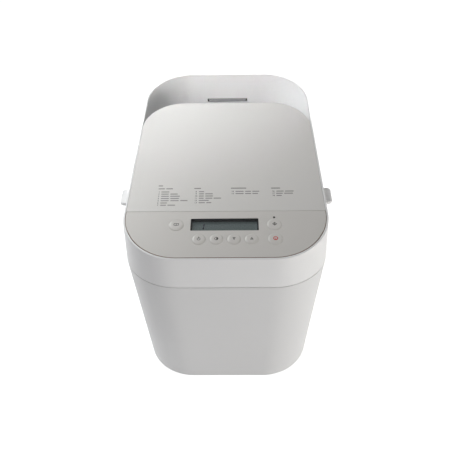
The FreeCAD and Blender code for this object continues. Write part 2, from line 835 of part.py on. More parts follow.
def lid_shell():
    """A plate with a skirt under it, a wall in front of the hinge, screw bosses and hinge lugs."""
    depth = ("lid_under", "panel_top")
    plate = lid_block("lid_plate", "0", depth)
    sides = slope_plate("lid_sides", "wall + top_gap", ("lid_seam + top_gap/2", "lid_turn"), depth)
    skirt = lid_block("lid_skirt", "skirt_inset", ("-lid_depth", "lid_under"))
    inside = lid_block("lid_inside", "skirt_inset + lid_wall", ("-2*lid_depth", "lid_under"))
    wall = lid_block("lid_wall_block", "skirt_inset + lid_wall/2", ("-lid_depth", "lid_under"),
                     "lid_bulkhead + lid_wall")
    wall_only = cut("lid_wall_only", wall, slab(
        "lid_wall_front", "2*band_width", ("0", "lid_bulkhead"), ("-2*lid_depth", "lid_depth")))
    notched = cut("lid_notched", cut("lid_walls", skirt, inside),
                  mirrored_pair("ear_notches", ear_notch))
    lugs = mirrored_pair("hinge_lugs", hinge_lug)
    bosses = [slope_post(f"lid_boss_{number}", "lid_boss_radius", "-lid_depth + lid_liner_thickness",
                         "lid_under", x, v)
              for number, (x, v) in enumerate(lid_screw_places())]
    pilots = [slope_post(f"lid_pilot_{number}", "lid_screw_radius + running_gap", "-lid_depth",
                         "-lid_depth/2", x, v)
              for number, (x, v) in enumerate(lid_screw_places())]
    bore = hinge_bore("lug_bore", "hinge_pin_radius + running_gap")
    solid = fuse("lid_solid", [plate, sides, notched, wall_only, lugs, *bosses])
    keep(cut("lid_case", solid, bore, *pilots), "lid_shell")


def lid_liner():
    plate = lid_block("liner_plate", "skirt_inset + lid_wall + fit_gap",
                      ("-lid_depth", "-lid_depth + lid_liner_thickness"), "lid_bulkhead - fit_gap")
    holes = [slope_post(f"liner_hole_{number}", "lid_screw_radius + fit_gap", "-2*lid_depth", "0", x, v)
             for number, (x, v) in enumerate(lid_screw_places())]
    keep(cut("lid_inner", plate, *holes), "lid_liner")


def lid_seal():
    """The soft ring under the lid that closes the oven's mouth."""
    outer = inset(OVEN, "-seal_margin - seal_width")
    inner = inset(OVEN, "-seal_margin")
    keep(tilted("seal_ring", [outer, inner], "-deck_depth + fit_gap", "-lid_depth", "oven_v"),
         "lid_seal")


def lid_screws():
    screws = []
    for number, (x, v) in enumerate(lid_screw_places()):
        head = slope_post(f"lid_head_{number}", "lid_screw_head_radius",
                          "-lid_depth - lid_screw_head_height", "-lid_depth", x, v)
        shank = slope_post(f"lid_shank_{number}", "lid_screw_radius", "-lid_depth",
                           "-lid_depth/2 - fit_gap", x, v)
        screws.append(fuse(f"lid_screw_{number}", [head, shank]))
    keep(fuse("lid_fasteners", screws), "lid_screws")


def hinge_pin(name, sign):
    y, z = on_slope("hinge_v", "-hinge_depth")
    middle = f"({sign}*hinge_ear_x)"
    return rod_along_x(name, "hinge_pin_radius",
                       (f"{middle} - hinge_lug_width", f"{middle} + hinge_lug_width"), y, z)


# Oven


def oven_liner():
    outside = upright("liner_outside", [inset(OVEN, "-liner_thickness")], "oven_floor", "case_top",
                      "oven_y")
    inside = upright("liner_inside", [OVEN], "oven_floor + liner_thickness", "2*case_top", "oven_y")
    above = slab("liner_above", "2*band_width", ("-band_depth", "2*slope_length"),
                 ("deck_low", "band_depth"))
    shaft = post("liner_shaft_hole", "boss_radius + fit_gap", "0", "oven_floor + 2*liner_thickness",
                 "0", "oven_y")
    leads = [rod_along_y(f"liner_lead_hole_{number}", "heater_radius + fit_gap",
                         ("oven_y - oven_length", "oven_y"), x, "heater_height")
             for number, x in enumerate(("(-heater_lead_x)", "heater_lead_x"))]
    sensor = rod_along_x("liner_sensor_hole", "sensor_radius + fit_gap", ("0", "oven_width"),
                         "oven_y", "sensor_height")
    keep(cut("liner", outside, inside, above, shaft, *leads, sensor), "oven_liner")


def heater_element():
    """A bent rod round the pan, with both ends out through the front of the liner."""
    path = doc.addObject("Sketcher::SketchObject", "heater_path")
    add_outline(path, *inset(OVEN, "heater_inset"))
    place(path, "0", "oven_y", "heater_height")
    section = doc.addObject("Part::Circle", "heater_section")
    bind(section, "Radius", "heater_radius")
    place(section, "oven_width/2 - heater_inset", "oven_y - oven_length/2 + oven_radius",
          "heater_height", angle="90")
    loop = doc.addObject("Part::Sweep", "heater_loop")
    loop.Sections = [section]
    loop.Spine = (path, [f"Edge{number}" for number in range(1, 9)])
    loop.Solid = True
    front = "(oven_y - oven_length/2 + heater_inset)"
    leads = [rod_along_y(f"heater_lead_{number}", "heater_radius",
                         (f"{front} - heater_lead_length", front), x, "heater_height")
             for number, x in enumerate(("(-heater_lead_x)", "heater_lead_x"))]
    keep(fuse("heater", [loop, *leads]), "heater_element")


def heater_clip(name, x_sign, y_sign):
    """A bracket from the liner's side wall, with a notch that holds the rod."""
    depth = "(heater_inset + heater_radius)"
    wall_x = f"({x_sign}*oven_width/2)"
    middle = f"({wall_x} - {x_sign}*{depth}/2)"
    y = f"(oven_y + {y_sign}*clip_y)"
    block = middle_box(f"{name}_block", (depth, "clip_width", "clip_height"),
                       (middle, y, "heater_height - clip_height/2"))
    notch = rod_along_y(f"{name}_notch", "heater_radius + running_gap",
                        (f"{y} - clip_width", f"{y} + clip_width"),
                        f"({wall_x} - {x_sign}*heater_inset)", "heater_height")
    return cut(name, block, notch)


def heater_clips():
    clips = [heater_clip(f"clip_{number}", x_sign, y_sign)
             for number, (x_sign, y_sign) in enumerate((a, b) for a in ("-1", "1") for b in ("-1", "1"))]
    keep(fuse("clips", clips), "heater_clips")


def temperature_sensor():
    wall_x = "(oven_width/2 + liner_thickness)"
    probe = rod_along_x("sensor_probe", "sensor_radius",
                        (f"{wall_x} - sensor_reach", f"{wall_x} + sensor_flange_thickness"),
                        "oven_y", "sensor_height")
    flange = rod_along_x("sensor_flange", "sensor_flange_radius",
                         (wall_x, f"{wall_x} + sensor_flange_thickness"), "oven_y", "sensor_height")
    keep(fuse("sensor", [probe, flange]), "temperature_sensor")


def pan_seat():
    keep(tube("seat", "seat_inner + seat_width", "seat_inner", "oven_floor + liner_thickness", "seat_top",
              "0", "oven_y"), "pan_seat")


# Pan


def bread_pan():
    outside = upright("pan_outside", [PAN], "pan_floor", "pan_rim", "oven_y")
    flange = upright("pan_lip", [inset(PAN, "-pan_flange")], "pan_rim - pan_wall", "pan_rim", "oven_y")
    inside = upright("pan_inside", [inset(PAN, "pan_wall")], "pan_inside", "2*pan_rim", "oven_y")
    hole = post("pan_hole", "pan_bush_radius + running_gap", "0", "pan_rim", "0", "oven_y")
    keep(cut("pan", fuse("pan_block", [outside, flange]), inside, hole), "bread_pan")


def pan_base_ring():
    keep(tube("base_ring", "seat_inner + pan_ring_width", "seat_inner", "seat_top + fit_gap",
              "pan_floor", "0", "oven_y"), "pan_base_ring")


def pan_bush():
    flange_low = "(pan_floor - pan_bush_flange_thickness)"
    body = post("bush_body", "pan_bush_radius", flange_low, "pan_inside", "0", "oven_y")
    flange = post("bush_flange", "pan_bush_radius + pan_bush_flange", flange_low, "pan_floor",
                  "0", "oven_y")
    bore = post("bush_bore", "pan_shaft_radius + running_gap", "0", "pan_rim", "0", "oven_y")
    keep(cut("pan_bearing", fuse("bush_block", [body, flange]), bore), "pan_bush")


def shaft_seal():
    keep(tube("shaft_ring", "pan_bush_radius", "pan_shaft_radius + running_gap", "pan_inside",
              "pan_inside + seal_thickness", "0", "oven_y"), "shaft_seal")


def handle_bracket(name, sign):
    """A bracket riveted under the pan's rim, with the pivot pin of the handle."""
    low = "(pan_rim - bracket_drop)"
    foot_width = "(bracket_x - pan_width/2)"
    foot = middle_box(f"{name}_foot", (foot_width, "bracket_width", "bracket_drop - 2*pan_flange"),
                      (f"({sign}*(bracket_x - {foot_width}/2))", "oven_y", low))
    plate = middle_box(f"{name}_plate",
                       ("bracket_thickness", "bracket_width", f"handle_z + handle_eye_radius - {low}"),
                       (f"({sign}*(bracket_x - bracket_thickness/2))", "oven_y", low))
    reach = "(handle_wire + fit_gap)"
    middle = f"({sign}*(bracket_x + {reach}))"
    pin = rod_along_x(f"{name}_pin", "handle_pin_radius", (f"{middle} - {reach}", f"{middle} + {reach}"),
                      "oven_y", "handle_z")
    return fuse(name, [foot, plate, pin])


def pan_handle():
    """A bail bent from flat bar, folded forwards over the pan, with an eye round each pivot."""
    outline = ("2*(handle_x + handle_wire)", "2*(handle_reach + handle_wire)", "handle_bend")
    ring = upright("bail_ring", [outline, inset(outline, "2*handle_wire")], "handle_z - handle_wire",
                   "handle_z + handle_wire", "oven_y")
    rear_half = box("bail_rear_hal", ("2*oven_width", "oven_length", "pan_rim"),
                    ("-oven_width", "oven_y", "pan_rim"))
    pieces = [cut("bail_bar", ring, rear_half)]
    bores = []
    for side, sign in (("left", "-1"), ("right", "1")):
        x = f"({sign}*handle_x)"
        pieces.append(rod_along_x(f"bail_eye_{side}", "handle_eye_radius",
                                  (f"{x} - handle_wire", f"{x} + handle_wire"), "oven_y", "handle_z"))
        bores.append(rod_along_x(f"bail_bore_{side}", "handle_pin_radius + running_gap",
                                 (f"{x} - 2*handle_wire", f"{x} + 2*handle_wire"), "oven_y", "handle_z"))
    keep(cut("bail", fuse("bail_eyes", pieces), *bores), "pan_handle")


def pan_shaft():
    keep(post("stub_shaft", "pan_shaft_radius", "coupling_low", "blade_top", "0", "oven_y"), "pan_shaft")


def pan_coupling():
    """A bar with rounded ends, which the two dogs push round, under a collar on the pan's shaft."""
    bar = middle_box("coupling_bar", ("coupling_bar_width", "coupling_bar_length", "coupling_bar_height"),
                     ("0", "oven_y", "coupling_low"))
    ends = post("coupling_ends", "coupling_bar_length/2", "coupling_low", "pan_floor", "0", "oven_y")
    collar = post("coupling_collar", "pan_shaft_radius + collar_wall", "coupling_low", "coupling_top",
                  "0", "oven_y")
    bore = post("coupling_bore", "pan_shaft_radius", "0", "pan_rim", "0", "oven_y")
    rounded = common("coupling_rounded", bar, ends)
    keep(cut("coupling", fuse("coupling_block", [rounded, collar]), bore), "pan_coupling")


def kneading_blade():
    hub = post("blade_hub", "blade_hub_radius", "blade_low", "blade_top", "0", "oven_y")
    fin = box("blade_fin", ("blade_reach", "blade_thickness", "blade_top - blade_low"),
              ("0", "oven_y - blade_thickness/2", "blade_low"))
    tip = post("blade_tip", "blade_thickness/2", "blade_low", "blade_top", "blade_reach", "oven_y")
    bore = post("blade_bore", "pan_shaft_radius", "0", "pan_rim", "0", "oven_y")
    keep(cut("blade", fuse("blade_block", [hub, fin, tip]), bore), "kneading_blade")


# Drive


def drive_chassis():
    """The sheet that carries the motor and the drive shaft, on posts from the base."""
    plate = box("chassis_sheet", ("chassis_width", "chassis_rear - chassis_front", "chassis_thickness"),
                ("-chassis_width/2", "chassis_front", "chassis_height"))
    posts = [post(f"chassis_post_{number}", "post_radius", "base_top", "chassis_height", x, y)
             for number, (x, y) in enumerate(screw_places())]
    pilots = [post(f"chassis_pilot_{number}", "screw_radius + running_gap", "0",
                   "foot_height + screw_length + fit_gap", x, y)
              for number, (x, y) in enumerate(screw_places())]
    boss = post("bearing_boss", "boss_radius", "chassis_height", "boss_top", "0", "oven_y")
    bore = post("bearing_bore", "bush_radius + running_gap", "0", "2*boss_top", "0", "oven_y")
    motor_hole = post("motor_hole", "2*motor_shaft_radius", "0", "2*boss_top", "0", "motor_y")
    keep(cut("chassis", fuse("chassis_block", [plate, *posts, boss]), bore, motor_hole, *pilots),
         "drive_chassis")


def shaft_bushes():
    hole = "drive_shaft_radius + running_gap"
    low = tube("bush_low", "bush_radius", hole, "chassis_height", "chassis_height + bush_length",
               "0", "oven_y")
    high = tube("bush_high", "bush_radius", hole, "boss_top - bush_length", "boss_top", "0", "oven_y")
    keep(fuse("bushes", [low, high]), "shaft_bushes")


def drive_shaft():
    low = "(pulley_low - 2*clip_ring_thickness)"
    keep(post("main_shaft", "drive_shaft_radius", low, "coupler_top", "0", "oven_y"), "drive_shaft")


def belt_pulley(name, seat, y, hole, lightened):
    """A flat pulley with a flange on each side of the belt's seat."""
    flange = f"({seat} + pulley_flange)"
    barrel = post(f"{name}_barrel", seat, "pulley_low", "pulley_top", "0", y)
    low = post(f"{name}_low", flange, "pulley_low", "pulley_low + pulley_flange_thickness", "0", y)
    high = post(f"{name}_high", flange, "pulley_top - pulley_flange_thickness", "pulley_top", "0", y)
    tools = [post(f"{name}_bore", hole, "0", "2*pulley_low + pulley_height", "0", y)]
    for turn in range(lightened):
        angle = f"({turn}*360/{lightened})"
        x_turned = f"(pulley_hole_circle*cos({angle}))"
        y_turned = f"({y} + pulley_hole_circle*sin({angle}))"
        tools.append(post(f"{name}_hole_{turn}", "pulley_hole_radius", "0",
                          "2*pulley_low + pulley_height", x_turned, y_turned))
    keep(cut(f"{name}_wheel", fuse(f"{name}_block", [barrel, low, high]), *tools), name)


def shaft_clip():
    keep(tube("clip_ring", "clip_ring_radius", "drive_shaft_radius", "pulley_low - clip_ring_thickness",
              "pulley_low", "0", "oven_y"), "shaft_clip")


def drive_coupler():
    disc = post("coupler_disc", "coupler_radius", "coupler_low", "coupler_top", "0", "oven_y")
    dogs = [middle_box(f"dog_{number}", ("dog_width", "dog_length", "coupler_thickness + dog_height"),
                       (f"({sign}*dog_x)", "oven_y", "coupler_low"))
            for number, sign in enumerate(("-1", "1"))]
    bore = post("coupler_bore", "drive_shaft_radius", "0", "pan_rim", "0", "oven_y")
    keep(cut("coupler", fuse("coupler_block", [disc, *dogs]), bore), "drive_coupler")


def add_belt_loop(sketch, large, small, distance):
    """Draw a loop round two circles, the second one in front of the first."""
    radii = (value(large), value(small))
    spread = value(distance)
    lean = math.asin((radii[0] - radii[1])/spread)
    middles = (FreeCAD.Vector(0, 0, 0), FreeCAD.Vector(0, -spread, 0))
    right = FreeCAD.Vector(math.cos(lean), math.sin(lean), 0)
    left = FreeCAD.Vector(-math.cos(lean), math.sin(lean), 0)
    first = len(sketch.Geometry)
    ends = [(middle + right*radius, middle + left*radius) for middle, radius in zip(middles, radii)]
    up = FreeCAD.Vector(0, 0, 1)
    arcs = ((middles[0], radii[0], lean, math.pi - lean),
            (middles[1], radii[1], math.pi - lean, 2*math.pi + lean))
    for middle, radius, start, end in arcs:
        sketch.addGeometry(Part.ArcOfCircle(Part.Circle(middle, up, radius), start, end))
    sketch.addGeometry(Part.LineSegment(ends[1][0], ends[0][0]))
    sketch.addGeometry(Part.LineSegment(ends[0][1], ends[1][1]))
    joins = ((first, 1, first + 2, 2), (first, 2, first + 3, 1),
             (first + 1, 1, first + 3, 2), (first + 1, 2, first + 2, 1))
    for join in joins:
        sketch.addConstraint(Sketcher.Constraint("Tangent", *join))
    sketch.addConstraint(Sketcher.Constraint("Coincident", first, 3, -1, 1))
    sketch.addConstraint(Sketcher.Constraint("PointOnObject", first + 1, 3, -2))
    rules = ((Sketcher.Constraint("Radius", first, radii[0]), large),
             (Sketcher.Constraint("Radius", first + 1, radii[1]), small),
             (Sketcher.Constraint("DistanceY", first + 1, 3, -1, 1, spread), distance))
    for rule, text in rules:
        bind(sketch, f"Constraints[{sketch.addConstraint(rule)}]", text)


def drive_belt():
    body = doc.addObject("PartDesign::Body", "belt")
    sketch = new_sketch(body, "belt_outline")
    for thickness in ("0", "belt_thickness"):
        add_belt_loop(sketch, f"driven_radius + fit_gap + {thickness}",
                      f"motor_pulley_radius + fit_gap + {thickness}", "oven_y - motor_y")
    low = "(pulley_low + pulley_flange_thickness + fit_gap)"
    pad = body.newObject("PartDesign::Pad", "belt_pad")
    pad.Profile = sketch
    bind(pad, "Length", "pulley_height - 2*pulley_flange_thickness - 2*fit_gap")
    keep(place(body, "0", "oven_y", low), "drive_belt")


# Motor


def motor_housing():
    can = post("motor_can", "motor_radius", "motor_low", "motor_top", "0", "motor_y")
    inside = post("motor_inside", "motor_radius - motor_wall", "motor_low + motor_wall",
                  "motor_top - motor_wall", "0", "motor_y")
    bore = post("motor_bore", "motor_shaft_radius + running_gap", "0", "motor_top + fit_gap",
                "0", "motor_y")
    keep(cut("motor", can, inside, bore), "motor_housing")


def motor_stator():
    keep(tube("stator", "motor_radius - motor_wall - running_gap", "rotor_radius + fit_gap",
              "stator_low", "stator_low + stator_height", "0", "motor_y"), "motor_stator")


def rotor_core():
    keep(tube("rotor", "rotor_radius", "motor_shaft_radius", "stator_low", "stator_low + stator_height",
              "0", "motor_y"), "rotor_core")


def motor_shaft():
    keep(post("spindle", "motor_shaft_radius", "pulley_low - clip_ring_thickness",
              "motor_top + motor_wall", "0", "motor_y"), "motor_shaft")


def motor_grommets():
    rings = []
    for turn in range(3):
        angle = f"({turn}*120 + 90)"
        x = f"(grommet_circle*cos({angle}))"
        y = f"(motor_y + grommet_circle*sin({angle}))"
        rings.append(tube(f"grommet_{turn}", "grommet_radius", "grommet_hole",
                          "chassis_top", "motor_low", x, y))
    keep(fuse("grommets", rings), "motor_grommets")


# Mains board and cord inlet


def power_board():
    board = middle_box("mains_sheet", ("mains_width", "mains_length", "mains_thickness"),
                       ("0", "mains_y", "mains_height"))
    capacitor = post("capacitor", "capacitor_radius", "mains_height", "mains_top + capacitor_height",
                     "mains_width/4", "mains_y")
    relay = middle_box("relay", ("relay_width", "relay_length", "mains_thickness + relay_height"),
                       ("-mains_width/4", "mains_y", "mains_height"))
    keep(fuse("mains", [board, capacitor, relay]), "power_board")


def cord_gland():
    """The inlet in the rear wall, whose flange stands just clear of the sloping wall."""
    wall_y = "(base_depth/2 + (gland_height - foot_height)*base_draft)"
    face = f"({wall_y} + gland_flange_radius*base_draft + running_gap)"
    body = rod_along_y("gland_body", "gland_radius", (f"{face} - gland_depth", face),
                       "gland_x", "gland_height")
    flange = rod_along_y("gland_flange", "gland_flange_radius",
                         (face, f"{face} + gland_flange_thickness"), "gland_x", "gland_height")
    bore = rod_along_y("gland_hole", "gland_bore", ("0", "band_depth"), "gland_x", "gland_height")
    keep(cut("gland", fuse("gland_block", [body, flange]), bore), "cord_gland")


def build_case():
    lower_housing()
    upper_housing()
    vent_louvre()
    grip("left_grip", "-1")
    grip("right_grip", "1")
    base_plate()
    rubber_feet()
    base_screws()


def build_top():
    control_panel()
    panel_carrier()
    lcd_window()
    lcd_module()
    indicator_lens()
    control_board()
    key_switches()
    for name, x, v, radius in KEYS:
        key(name, x, v, radius)
    oven_surround()
    rear_tray()
    lid_shell()
    lid_liner()
    lid_seal()
    lid_screws()
    keep(mirrored_pair("hinge_pin_pair", hinge_pin), "hinge_pins")


def build_oven():
    oven_liner()
    heater_element()
    heater_clips()
    temperature_sensor()
    pan_seat()
    bread_pan()
    pan_base_ring()
    pan_bush()
    shaft_seal()
    keep(mirrored_pair("bracket_pair", handle_bracket), "handle_pivots")
    pan_handle()
    pan_shaft()
    pan_coupling()
    kneading_blade()


def build_drive():
    drive_chassis()
    shaft_bushes()
    drive_shaft()
    belt_pulley("driven_pulley", "driven_radius", "oven_y", "drive_shaft_radius", 5)
    shaft_clip()
    drive_coupler()
    drive_belt()
    motor_housing()
    motor_stator()
    rotor_core()
    motor_shaft()
    belt_pulley("motor_pulley", "motor_pulley_radius", "motor_y", "motor_shaft_radius", 0)
    motor_grommets()
    power_board()
    cord_gland()


def check_document():
    """Stop where any object failed, or a sub-part has no sound solid."""
    failed = [item.Name for item in doc.Objects if "Invalid" in item.State or "Error" in item.State]
    if failed:
        raise RuntimeError(f"failed objects: {failed}")
    for label, item in nodes.items():
        if item.Shape.isNull() or not item.Shape.Solids or not item.Shape.isValid():
            raise RuntimeError(f"no sound solid in {label}")


build_case()
build_top()
build_oven()
build_drive()
doc.recompute()
check_document()
os.makedirs("parts", exist_ok=True)
for label, item in nodes.items():
    item.Shape.exportStep(f"parts/{label}.step")
print(f"{len(nodes)} sub-parts")
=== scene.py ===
import json
import math

import bmesh
import bpy
from mathutils import Matrix, Vector

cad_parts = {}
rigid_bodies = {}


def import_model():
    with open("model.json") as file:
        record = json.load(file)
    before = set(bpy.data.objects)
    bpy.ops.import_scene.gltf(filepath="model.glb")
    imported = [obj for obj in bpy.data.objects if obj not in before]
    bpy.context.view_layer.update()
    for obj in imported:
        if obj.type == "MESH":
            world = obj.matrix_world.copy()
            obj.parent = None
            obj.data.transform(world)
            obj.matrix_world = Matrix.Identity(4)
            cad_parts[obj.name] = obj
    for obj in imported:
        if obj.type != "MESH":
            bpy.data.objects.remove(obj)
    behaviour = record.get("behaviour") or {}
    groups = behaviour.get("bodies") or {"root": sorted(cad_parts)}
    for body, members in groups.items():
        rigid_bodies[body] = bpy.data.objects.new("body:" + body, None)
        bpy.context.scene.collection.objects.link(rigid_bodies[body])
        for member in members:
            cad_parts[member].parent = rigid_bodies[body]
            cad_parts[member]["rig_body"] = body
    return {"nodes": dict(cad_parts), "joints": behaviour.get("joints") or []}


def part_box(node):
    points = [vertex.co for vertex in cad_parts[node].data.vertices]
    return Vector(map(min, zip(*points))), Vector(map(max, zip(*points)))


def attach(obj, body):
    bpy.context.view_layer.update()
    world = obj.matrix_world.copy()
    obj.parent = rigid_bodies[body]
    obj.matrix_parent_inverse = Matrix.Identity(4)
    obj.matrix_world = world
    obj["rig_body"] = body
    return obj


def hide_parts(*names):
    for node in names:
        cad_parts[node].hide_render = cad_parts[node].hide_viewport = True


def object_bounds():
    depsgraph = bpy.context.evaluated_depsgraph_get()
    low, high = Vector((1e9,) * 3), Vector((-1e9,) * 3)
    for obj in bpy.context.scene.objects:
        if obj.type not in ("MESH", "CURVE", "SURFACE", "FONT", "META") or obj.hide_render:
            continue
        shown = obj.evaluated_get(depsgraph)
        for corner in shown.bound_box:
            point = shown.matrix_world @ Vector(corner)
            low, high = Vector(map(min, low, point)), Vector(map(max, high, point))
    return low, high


for start_object in list(bpy.data.objects):
    bpy.data.objects.remove(start_object)
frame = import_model()
CAD_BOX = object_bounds()

bl_info = {
    "name": "Bread machine",
    "version": (1, 0, 0),
    "blender": (4, 5, 0),
    "location": "View3D > Sidebar > Bread machine",
    "description": "Dresses the bread machine's packed parts with mouldings, print and finishes",
    "category": "Object",
}

MM = 0.001
ACROSS = Vector((1, 0, 0))


def press_axis():
    """The way that the keys go in, which is square to the sloping top."""
    return next(Vector(joint["axis"]) for joint in frame["joints"] if joint["name"] == "menu_press")


OUT = -press_axis().normalized()
UP_SLOPE = OUT.cross(ACROSS)


def span(name, way):
    """How far a node reaches along a direction, as lowest and highest."""
    reach = [corner.co.dot(way) for corner in frame["nodes"][name].data.vertices]
    return min(reach), max(reach)


def extent(name, way):
    low, high = span(name, way)
    return high - low


def middle(name, way):
    return sum(span(name, way)) / 2


def middle_point(name):
    low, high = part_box(name)
    return (low + high) / 2


def linear(hex_colour):
    """An sRGB hex colour as linear red, green and blue."""
    shares = [int(hex_colour[place:place + 2], 16) / 255 for place in (1, 3, 5)]
    return tuple(s / 12.92 if s <= 0.04045 else ((s + 0.055) / 1.055) ** 2.4 for s in shares)


class BreadMachineSizes(bpy.types.PropertyGroup):
    """Sizes of the rounded edges, the reach into the gaps, and the print"""

    case_round: bpy.props.FloatProperty(
        name="Case edge", description="Rounding of the rim's outer edge",
        default=1.1 * MM, unit="LENGTH", precision=5)
    case_inner_round: bpy.props.FloatProperty(
        name="Case inner edge", description="Rounding of the collar's other edges",
        default=0.2 * MM, unit="LENGTH", precision=5)
    collar_reach: bpy.props.FloatProperty(
        name="Collar reach", description="How far the collar's foot reaches into the gap above the body",
        default=0.45 * MM, unit="LENGTH", precision=6)
    base_round: bpy.props.FloatProperty(
        name="Bottom edge", description="Rounding of the case's bottom edge",
        default=2 * MM, unit="LENGTH", precision=5)
    grip_round: bpy.props.FloatProperty(
        name="Grip edge", description="Rounding of the carry grips",
        default=2 * MM, unit="LENGTH", precision=5)
    lid_lip: bpy.props.FloatProperty(
        name="Lid lip", description="Rounding of the lid's rear and side edges",
        default=0.6 * MM, unit="LENGTH", precision=5)
    panel_lip: bpy.props.FloatProperty(
        name="Panel lip", description="Rounding of the panel's front and side edges",
        default=0.8 * MM, unit="LENGTH", precision=5)
    seam_round: bpy.props.FloatProperty(
        name="Seam edge", description="Rounding of the edges where the lid meets the panel",
        default=0.12 * MM, unit="LENGTH", precision=5)
    side_reach: bpy.props.FloatProperty(
        name="Side reach", description="How far the lid and the panel reach into the gaps beside them",
        default=0.35 * MM, unit="LENGTH", precision=6)
    print_thickness: bpy.props.FloatProperty(
        name="Print", description="Thickness of the printed ink",
        default=0.05 * MM, unit="LENGTH", precision=6)
    number_height: bpy.props.FloatProperty(
        name="Numbers", description="Size of the printed numbers",
        default=3.3 * MM, unit="LENGTH", precision=5)
    row_pitch: bpy.props.FloatProperty(
        name="Rows", description="Spacing of the printed rows",
        default=4.05 * MM, unit="LENGTH", precision=5)


class BreadMachineColours(bpy.types.PropertyGroup):
    """Colours of the mouldings and the print"""

    case: bpy.props.FloatVectorProperty(
        name="Case", description="White of the case's body", default=linear("#E2E2E2"), subtype="COLOR")
    # The collar's white is the case's white painted lighter: painted light on the collar and the grips
    collar: bpy.props.FloatVectorProperty(
        name="Collar", description="White of the collar and the grips", default=linear("#EFEFEF"),
        subtype="COLOR")
    lid: bpy.props.FloatVectorProperty(
        name="Lid", description="Grey of the lid", default=linear("#D7D5D2"), subtype="COLOR")
    panel: bpy.props.FloatVectorProperty(
        name="Panel", description="Grey of the panel and its keys", default=linear("#D1CECA"),
        subtype="COLOR")
    ink: bpy.props.FloatVectorProperty(
        name="Ink", description="Grey of the print", default=linear("#484644"), subtype="COLOR")
    stop_ink: bpy.props.FloatVectorProperty(
        name="Stop ink", description="Red of the stop symbol", default=linear("#C2453E"), subtype="COLOR")
    display: bpy.props.FloatVectorProperty(
        name="Display", description="Grey-green of the display", default=linear("#6E7C7C"), subtype="COLOR")


def sizes():
    return bpy.context.scene.bread_machine_sizes


def colours():
    return bpy.context.scene.bread_machine_colours


# Finishes

# Where most of a noise's values lie, and how strongly a grain shows in the bump
NOISE_LOW, NOISE_HIGH = 0.25, 0.75
GRAIN_STRENGTH = 0.6


def node(material, kind, inputs=None, **settings):
    """Add a node to a material or world, with its settings, and set or link its inputs."""
    item = material.node_tree.nodes.new(kind)
    for name, setting in settings.items():
        setattr(item, name, setting)
    for name, given in (inputs or {}).items():
        if isinstance(given, bpy.types.NodeSocket):
            material.node_tree.links.new(given, item.inputs[name])
        else:
            item.inputs[name].default_value = given
    return item


def blank(name):
    material = bpy.data.materials.new(name)
    material.use_nodes = True
    material.node_tree.nodes.clear()
    return material


def shaded(material, surface):
    node(material, "ShaderNodeOutputMaterial", {"Surface": surface})
    return material


def tone(colour, share=1):
    """A linear colour made lighter or darker, with alpha."""
    return tuple(min(1, part * share) for part in colour) + (1,)


def skin(name, colour, rough, grain, depth, drift=0.02, patch=45 * MM, stretch=(1, 1, 1), **shader):
    """A surface with a fine grain in its bump, and broad patches of slightly other colour and gloss."""
    material = blank(name)
    place = node(material, "ShaderNodeTexCoord").outputs["Object"]
    drawn = node(material, "ShaderNodeMapping", {"Vector": place, "Scale": stretch}).outputs["Vector"]
    fine = node(material, "ShaderNodeTexNoise", {"Vector": drawn, "Scale": 1 / grain, "Detail": 2})
    broad = node(material, "ShaderNodeTexNoise", {"Vector": place, "Scale": 1 / patch, "Detail": 3})
    mixed = node(material, "ShaderNodeMath", {0: broad.outputs["Fac"], 1: fine.outputs["Fac"]},
                 operation="MULTIPLY")
    tint = node(material, "ShaderNodeMix", {0: mixed.outputs["Value"], 6: tone(colour, 1 - drift),
                                            7: tone(colour, 1 + 2 * drift)}, data_type="RGBA")
    gloss = node(material, "ShaderNodeMapRange", {
        "Value": broad.outputs["Fac"], "From Min": NOISE_LOW, "From Max": NOISE_HIGH,
        "To Min": rough[0], "To Max": rough[1]})
    bump = node(material, "ShaderNodeBump", {
        "Height": fine.outputs["Fac"], "Distance": depth, "Strength": GRAIN_STRENGTH})
    surface = node(material, "ShaderNodeBsdfPrincipled", {
        "Base Color": tint.outputs[2], "Roughness": gloss.outputs["Result"],
        "Normal": bump.outputs["Normal"], **shader})
    return shaded(material, surface.outputs["BSDF"])


def white_abs(name):
    """Moulded ABS from a lightly blasted mould: an even white with a soft, broad sheen."""
    return skin(name, colours().case, rough=(0.38, 0.46), grain=1.1 * MM, depth=0.008 * MM,
                drift=0.01, IOR=1.54)


def white_abs_painted_light(name):
    """The collar's ABS: the body's white painted lighter, as painted light on the collar, the grips and the
    well, with the same soft sheen.
    """
    return skin(name, colours().collar, rough=(0.36, 0.44), grain=1.0 * MM, depth=0.007 * MM,
                drift=0.01, IOR=1.54)


def grey_abs(name):
    """Painted ABS: a warm pale grey that takes the light in one slow gradient."""
    return skin(name, colours().lid, rough=(0.40, 0.48), grain=0.9 * MM, depth=0.006 * MM,
                drift=0.012, IOR=1.52)


def panel_abs(name):
    """The panel's painted ABS: the lid's grey, one shade warmer and deeper."""
    return skin(name, colours().panel, rough=(0.40, 0.48), grain=0.9 * MM, depth=0.006 * MM,
                drift=0.012, IOR=1.52)


def painted_gap_shade(name):
    """The panel's rounded lip in a dull brown: painted shade of the gap beside the panel."""
    return skin(name, linear("#7E6A5B"), rough=(0.5, 0.6), grain=0.8 * MM, depth=0.006 * MM,
                drift=0.05, patch=12 * MM, IOR=1.52)


def key_abs(name):
    """The panel's grey on the keys, worn a little smoother by fingers."""
    return skin(name, colours().panel, rough=(0.34, 0.42), grain=0.9 * MM, depth=0.005 * MM,
                drift=0.01, patch=9 * MM, IOR=1.52)


def black_abs(name):
    """Moulded ABS, dark grey, with the coarse grain of a blasted mould."""
    return skin(name, linear("#2B2B2B"), rough=(0.5, 0.62), grain=0.8 * MM, depth=0.03 * MM,
                drift=0.06, patch=30 * MM, IOR=1.54)


